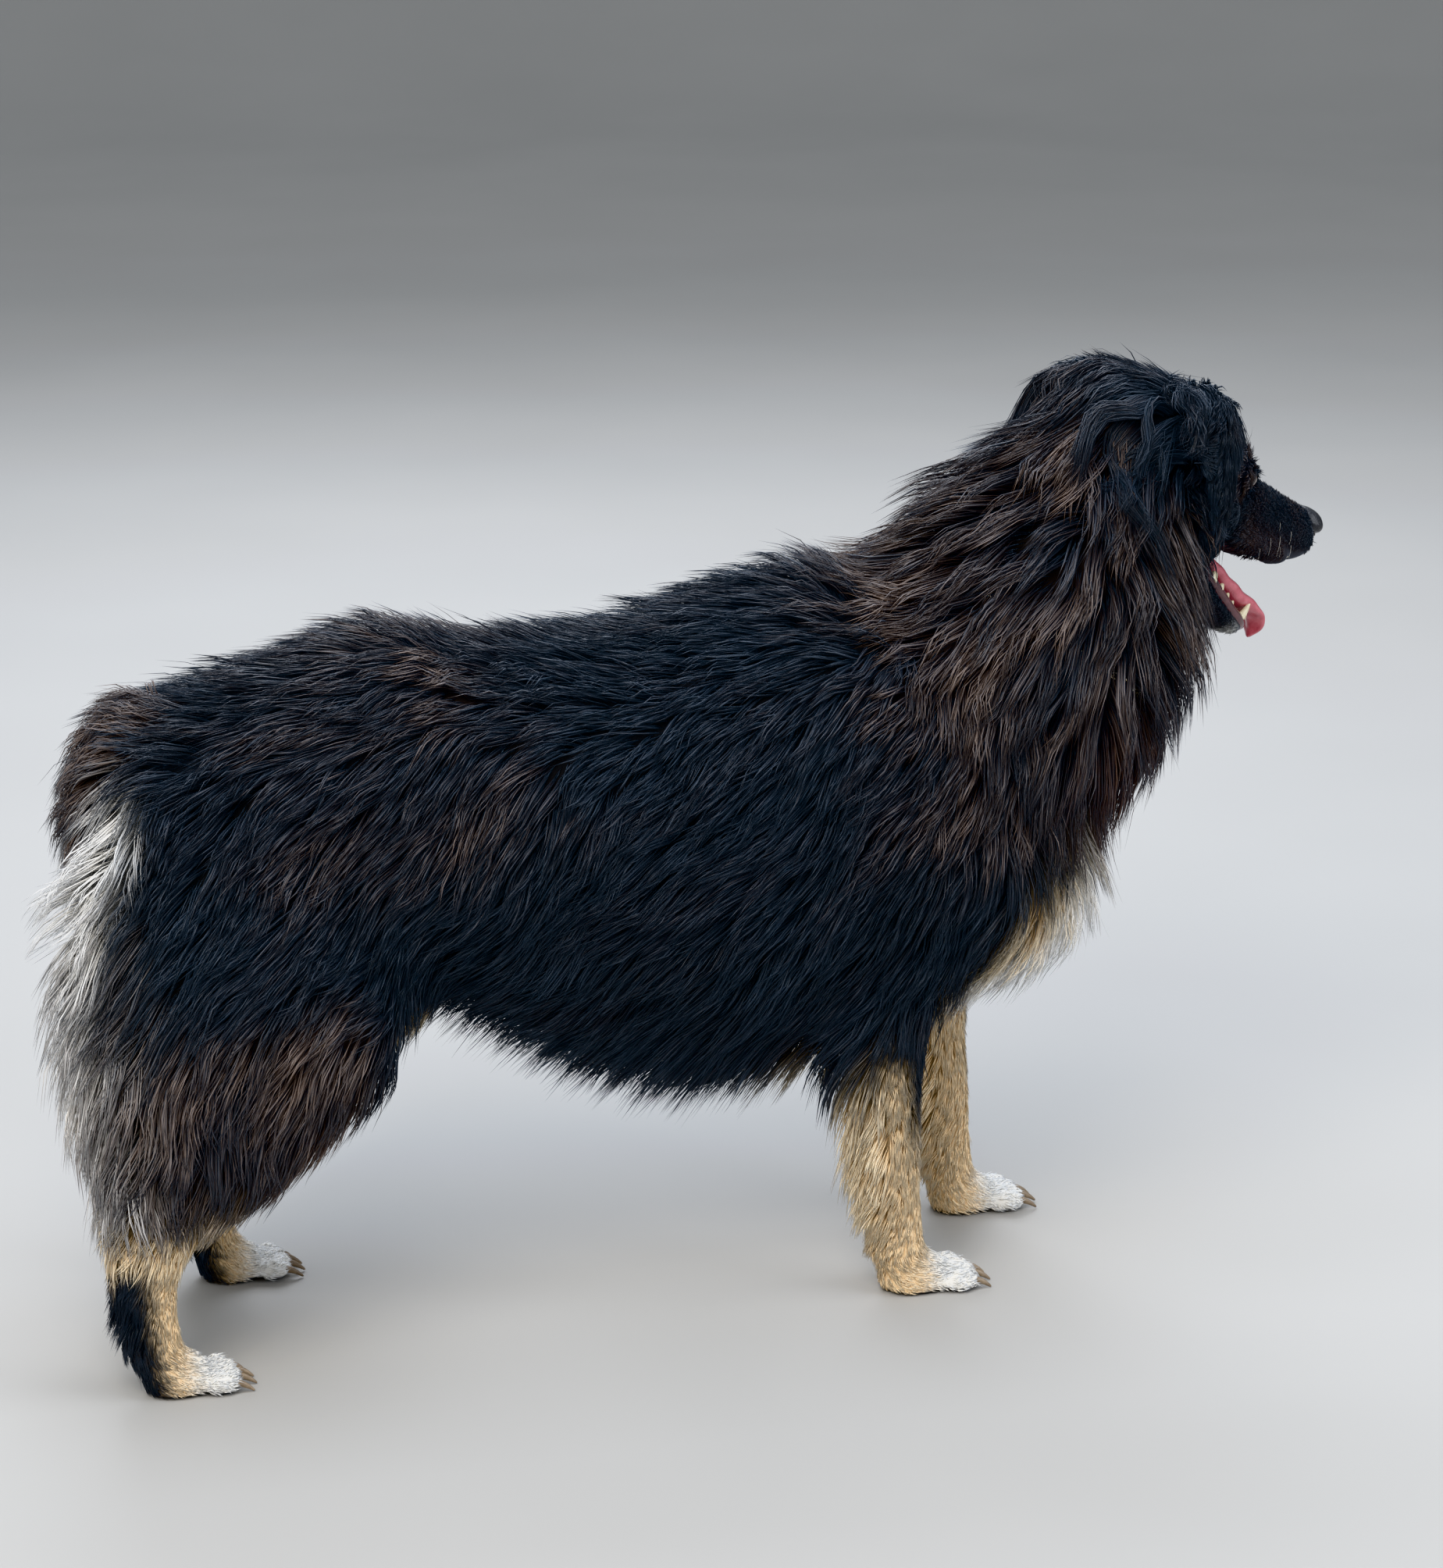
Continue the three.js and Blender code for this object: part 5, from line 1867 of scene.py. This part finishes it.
@dataclass(frozen=True)
class CoatFinish:
    """Long dog hair, with each colour given at its root and at its tip."""

    # Root and tip. The tip's lighter blue-grey is partly sun-lightened hair and partly a painted blue sheen.
    black: tuple[str, str] = ("#090e13", "#28313b")
    brown: tuple[str, str] = ("#372e2b", "#80726a")
    rust: tuple[str, str] = ("#3b271e", "#92694f")
    tan: tuple[str, str] = ("#f9d6a4", "#fff0d2")
    white: tuple[str, str] = ("#fbf8f0", "#ffffff")
    lip: tuple[str, str] = ("#0f0d0e", "#2a2224")
    gum: tuple[str, str] = ("#7a3e42", "#c98586")
    roughness: float = 0.46
    sheen: float = 0.3
    sheen_tint: str = "#a2b4cc"
    mottle_mm: float = 7.0
    grain_mm: float = 1.1

    def material(self, name: str, on_skin: bool) -> Material:
        """The hair's material.

        Args:
            name: The material's name.
            on_skin: Whether it dresses the skin, where hair is bump and the mouth is bare.

        Returns:
            The material.
        """
        material, tree = new_material(name)
        value = {
            word: add_node(tree, "Attribute", out="Fac", attribute_name=word)
            for word in (SKIN_VALUES if on_skin else TUFT_VALUES)
        }
        along, tint = value.get("along", 0.3), value.get("tint", 0.5)
        root, tip = self.black
        colour = add_node(tree, "Mix", {"Factor": along, 6: root, 7: tip}, **RGBA)
        for marking, spread in (("brown", 0.0), ("rust", 0.0), ("tan", 0.14), ("white", 0.1)):
            root, tip = getattr(self, marking)
            hair = add_node(tree, "Mix", {"Factor": along, 6: root, 7: tip}, **RGBA)
            hair = self.varied(tree, hair, tint, spread)
            # Before the tan, black, brown and rust turn lighter or darker by the tint, which holds the
            # painted shade of the hollows.
            if marking == "tan":
                colour = self.varied(tree, colour, tint, 0.45)
            shares = {"Factor": value[marking], 6: colour, 7: hair}
            colour = add_node(tree, "Mix", shares, **RGBA)
        # On the skin, painted shade: darker where the hair over it is long, and on the ears.
        if on_skin:
            vary = add_node(tree, "MapRange", {"Value": value["deep"], "To Min": 0.95, "To Max": 0.35})
            colour = add_node(tree, "HueSaturation", {"Value": vary, "Color": colour})
        inputs = {
            "Base Color": colour, "Roughness": self.roughness, "Sheen Weight": self.sheen,
            "Sheen Roughness": 0.4, "Sheen Tint": self.sheen_tint, "Specular IOR Level": 0.45,
        }
        if on_skin:
            inputs.update(self.bare_skin(tree, colour, value["gum"], value["bare"]))
        put_out(tree, inputs)
        return material

    @staticmethod
    def varied(tree: Tree, colour: Socket, tint: Socket | float, spread: float) -> Socket:
        """A colour made lighter or darker from tuft to tuft."""
        if spread == 0.0:
            return colour
        vary = add_node(tree, "MapRange", {"Value": tint, "To Min": 1 - spread, "To Max": 1 + spread})
        return add_node(tree, "HueSaturation", {"Value": vary, "Color": colour})

    def bare_skin(self, tree: Tree, colour: Socket, gum: Socket, bare: Socket) -> dict:
        """The skin's own look where it shows: dark lips and lids, wet pink gums, and fine bump.

        Args:
            tree: The node tree.
            colour: The coat's colour.
            gum: Where the lining of the mouth is.
            bare: Where no hair grows.

        Returns:
            Inputs for the shader.
        """
        place = add_node(tree, "TexCoord", out="Object")
        patches = {"Vector": place, "Scale": 1000 / self.mottle_mm, "Detail": 3.0}
        mottle = add_node(tree, "TexNoise", patches)
        for where, (dark, light) in ((bare, self.lip), (gum, self.gum)):
            flesh = add_node(tree, "Mix", {"Factor": mottle, 6: dark, 7: light}, **RGBA)
            colour = add_node(tree, "Mix", {"Factor": where, 6: colour, 7: flesh}, **RGBA)
        rough = add_node(tree, "MapRange", {"Value": gum, "To Min": 0.75, "To Max": 0.22})
        grain = add_node(tree, "TexNoise", {"Vector": place, "Scale": 1000 / self.grain_mm, "Detail": 2.0})
        bump = add_node(tree, "Bump", {"Height": grain, "Strength": 0.5, "Distance": 0.0006})
        return {"Base Color": colour, "Roughness": rough, "Normal": bump}


@dataclass(frozen=True)
class EyeFinish:
    """The eyeball: a dark pupil in a brown, streaked iris, with a dark rim and little white."""

    pupil_mm: float = 2.6
    iris_mm: float = 6.6
    pupil: str = "#040304"
    iris: tuple[str, str] = ("#1f0f07", "#55301a")
    rim: str = "#120a06"
    white: str = "#33262a"

    def material(self) -> Material:
        """The eyeball's material, drawn by the distance from its gaze."""
        material, tree = new_material("eye_brown_wet")
        off = add_node(tree, "Attribute", out="Fac", attribute_name="off_gaze")
        around = add_node(tree, "Attribute", out="Fac", attribute_name="round_gaze")
        where = add_node(tree, "CombineXYZ", {"X": around, "Y": 0.0, "Z": 0.0})
        streak = add_node(tree, "TexNoise", {"Vector": where, "Scale": 9.0, "Detail": 4.0})
        dark, light = self.iris
        colour = add_node(tree, "Mix", {"Factor": streak, 6: dark, 7: light}, **RGBA)
        for start, end, within, beyond in (
            (self.iris_mm - 0.9, self.iris_mm, None, self.rim),
            (self.pupil_mm, self.pupil_mm + 0.35, self.pupil, None),
            (self.iris_mm, self.iris_mm + 0.5, None, self.white),
        ):
            edge = add_node(tree, "MapRange", {"Value": off, "From Min": start, "From Max": end})
            ring = {"Factor": edge, 6: within or colour, 7: beyond or colour}
            colour = add_node(tree, "Mix", ring, **RGBA)
        put_out(tree, {"Base Color": colour, "Roughness": 0.12, "Coat Weight": 1.0, "Coat Roughness": 0.03})
        return material


@dataclass(frozen=True)
class FleshFinish:
    """Flesh, leather, enamel or horn: two mottled colours under a fine grain."""

    name: str
    dark: str
    light: str
    patch_mm: float
    grain_mm: float
    depth: float
    roughness: float
    coat: float
    cells: bool = False

    def material(self) -> Material:
        """The mottled, grained material."""
        material, tree = new_material(self.name)
        place = add_node(tree, "TexCoord", out="Object")
        patch = add_node(tree, "TexNoise", {"Vector": place, "Scale": 1000 / self.patch_mm, "Detail": 4.0})
        colour = add_node(tree, "Mix", {"Factor": patch, 6: self.dark, 7: self.light}, **RGBA)
        kind = "TexVoronoi" if self.cells else "TexNoise"
        grain = add_node(tree, kind, {"Vector": place, "Scale": 1000 / self.grain_mm})
        bump = add_node(tree, "Bump", {"Height": grain, "Strength": 0.6, "Distance": self.depth})
        put_out(tree, {
            "Base Color": colour, "Roughness": self.roughness, "Normal": bump,
            "Coat Weight": self.coat, "Coat Roughness": 0.12,
        })
        return material


# Hair: fine black shafts with a blue-grey gleam, partly from the sheen and partly a painted sheen in the
# tips' colour, browned by the sun, beside matt tan and white.
HAIR = CoatFinish()
# Cornea over iris: a deep brown that looks wet, with one small sharp highlight.
WET_EYE = EyeFinish()
# Moist hairless leather: near black, pebbled in fine cells, with broad soft highlights.
NOSE_LEATHER = FleshFinish(
    "nose_leather_moist", "#0c0c0e", "#26262b",
    patch_mm=4.0, grain_mm=1.3, depth=0.0005, roughness=0.38, coat=0.35, cells=True,
)
# Wet muscle in thin skin: deep pink with velvety bumps under a glossy film.
TONGUE_FLESH = FleshFinish(
    "tongue_wet", "#a8434f", "#d9808a",
    patch_mm=7.0, grain_mm=0.9, depth=0.0003, roughness=0.3, coat=0.6, cells=True,
)
# Stiff single hairs: pale and waxy, so that they show against the black cheek.
WHISKER_HAIR = FleshFinish(
    "whisker_hair", "#b9b2a6", "#e6e0d4",
    patch_mm=9.0, grain_mm=2.0, depth=0.00005, roughness=0.4, coat=0.0,
)
# Enamel: cream to ivory, smooth and glassy.
TOOTH_ENAMEL = FleshFinish(
    "tooth_enamel", "#cdbf94", "#efe6cc",
    patch_mm=6.0, grain_mm=3.0, depth=0.0001, roughness=0.25, coat=0.5,
)
# Grown horn: dull brown, finely ribbed, a little waxy.
CLAW_HORN = FleshFinish(
    "claw_horn", "#5f5142", "#a8957d",
    patch_mm=5.0, grain_mm=0.8, depth=0.0002, roughness=0.4, coat=0.1,
)
# Wet gum: dark brown-pink and slick, with small bright highlights.
GUM_FLESH = FleshFinish(
    "gum_wet", "#2b1b1b", "#744a4e",
    patch_mm=9.0, grain_mm=1.2, depth=0.0002, roughness=0.26, coat=0.5,
)


@dataclass(frozen=True)
class SteelFinish:
    """Drawn steel wire, plated bright and worn slightly warm."""

    worn: str = "#c9b68e"
    bright: str = "#d6d8dc"
    wear_mm: float = 17.0

    def material(self) -> Material:
        """The chain's material."""
        material, tree = new_material("chain_steel")
        place = add_node(tree, "TexCoord", out="Object")
        wear = add_node(tree, "TexNoise", {"Vector": place, "Scale": 1000 / self.wear_mm})
        colour = add_node(tree, "Mix", {"Factor": wear, 6: self.worn, 7: self.bright}, **RGBA)
        put_out(tree, {"Base Color": colour, "Metallic": 1.0, "Roughness": 0.22})
        return material


# Plated steel: tiny mirror-like glints between the hairs.
CHAIN_STEEL = SteelFinish()


# ---- the studio


@dataclass(frozen=True)
class Studio:
    """A plain pale floor, soft light and the camera."""

    azimuth: float = -17.0
    elevation: float = 16.0
    look_at: Place = (-0.0075, -0.039, 0.419)
    distance: float = 3.3
    lens: float = 98.6
    # (name, place, size, power, colour)
    lamps: tuple = (
        ("key", (-1.6, -2.4, 2.8), 2.2, 122.0, "#fffaf3"),
        ("fill", (2.8, -1.6, 1.6), 2.4, 54.0, "#eef3fb"),
        ("rim", (0.4, 2.6, 2.6), 2.2, 84.0, "#eef4ff"),
        ("top", (0.0, -0.2, 3.4), 2.6, 68.0, "#e4eeff"),
    )
    lamps_face: Place = (0, 0, 0.35)
    sky: str = "#e2e9f2"
    sky_strength: float = 0.71
    floor_colours: tuple[str, str] = ("#aaa8a4", "#b2b0ac")
    cloud_mm: float = 500.0
    flat_radius: float = 7.0
    sweep_radius: float = 3.0
    wall_top: float = 3.6

    def build(self) -> None:
        """Sets up floor, lights and camera."""
        self.floor()
        for lamp in self.lamps:
            self.light(*lamp)
        scene = bpy.context.scene
        scene.world = bpy.data.worlds.new("studio")
        scene.world.use_nodes = True
        background = scene.world.node_tree.nodes["Background"]
        background.inputs["Color"].default_value = linear(self.sky)
        background.inputs["Strength"].default_value = self.sky_strength
        scene.view_settings.view_transform = "Khronos PBR Neutral"
        self.camera()

    def floor(self) -> None:
        """A wide pale floor that sweeps up into a round wall, so that no horizon shows."""
        shape = bmesh.new()
        flat, round_off = self.flat_radius, self.sweep_radius
        turns = np.linspace(0, math.pi / 2, 12)
        sweep = [(flat + round_off * math.sin(t), 0, round_off - round_off * math.cos(t)) for t in turns]
        outline = [(0, 0, 0), *sweep, (flat + round_off, 0, self.wall_top)]
        line = [shape.verts.new(place) for place in outline]
        edges = [shape.edges.new(ends) for ends in zip(line, line[1:])]
        bmesh.ops.spin(
            shape, geom=line + edges, cent=(0, 0, 0), axis=(0, 0, 1),
            angle=2 * math.pi, steps=96, use_merge=True,
        )
        for face in shape.faces:
            face.smooth = True
        floor = from_bmesh("floor", shape)
        material, tree = new_material("floor_pale")
        place = add_node(tree, "TexCoord", out="Object")
        cloud = add_node(tree, "TexNoise", {"Vector": place, "Scale": 1000 / self.cloud_mm})
        dark, light = self.floor_colours
        colour = add_node(tree, "Mix", {"Factor": cloud, 6: dark, 7: light}, **RGBA)
        put_out(tree, {"Base Color": colour, "Roughness": 0.8})
        dress(floor, material)

    def light(self, name: str, at: Place, size: float, power: float, colour: str) -> None:
        """Adds a soft square lamp that points at the dog."""
        lamp = bpy.data.lights.new(name, "AREA")
        lamp.energy, lamp.size, lamp.color = power, size, linear(colour)[:3]
        made = as_object(name, lamp)
        made.location = at
        made.rotation_euler = (Vector(self.lamps_face) - Vector(at)).to_track_quat("-Z", "Y").to_euler()

    def camera(self) -> None:
        """The camera, at the dog's right, a little behind and above."""
        data = bpy.data.cameras.new("camera")
        data.lens = self.lens
        made = as_object("camera", data)
        a, e = math.radians(self.azimuth), math.radians(self.elevation)
        back = Vector((math.sin(a) * math.cos(e), -math.cos(a) * math.cos(e), math.sin(e)))
        made.location = Vector(self.look_at) + back * self.distance
        made.rotation_euler = (-back).to_track_quat("-Z", "Y").to_euler()
        bpy.context.scene.camera = made


def main() -> None:
    """Builds the dog piece by piece."""
    logging.basicConfig(level=logging.INFO, format="%(message)s")
    Studio().build()
    skin = Skin()
    skin.build()
    lie = Lie(skin)
    lie.build()
    write(skin.piece.data, {name: lie.fields[name] for name in SKIN_VALUES})
    fitted(skin.piece, [node for nodes in PART_NODES.values() for node in nodes])
    dress(skin.piece, HAIR.material("short_coat_and_skin", on_skin=True))
    hair = HAIR.material("long_coat", on_skin=False)
    for piece in Coat(lie).build():
        dress(piece, hair)
    eye = WET_EYE.material()
    for side in Side:
        dress(EYES.build(side), eye)
    dress(Nose().build(), NOSE_LEATHER.material())
    mouth = Mouth()
    dress(mouth.build_tongue(), TONGUE_FLESH.material())
    dress(mouth.build_gums(), GUM_FLESH.material())
    dress(Whiskers().build(), WHISKER_HAIR.material())
    enamel = TOOTH_ENAMEL.material()
    dress(mouth.lower_teeth(), enamel)
    dress(mouth.upper_teeth(), enamel)
    horn = CLAW_HORN.material()
    for side in Side:
        for paw in ("fore", "hind"):
            dress(Claws().build(paw, side), horn)
    dress(Chain().build(), CHAIN_STEEL.material())


if __name__ == "__main__":
    main()
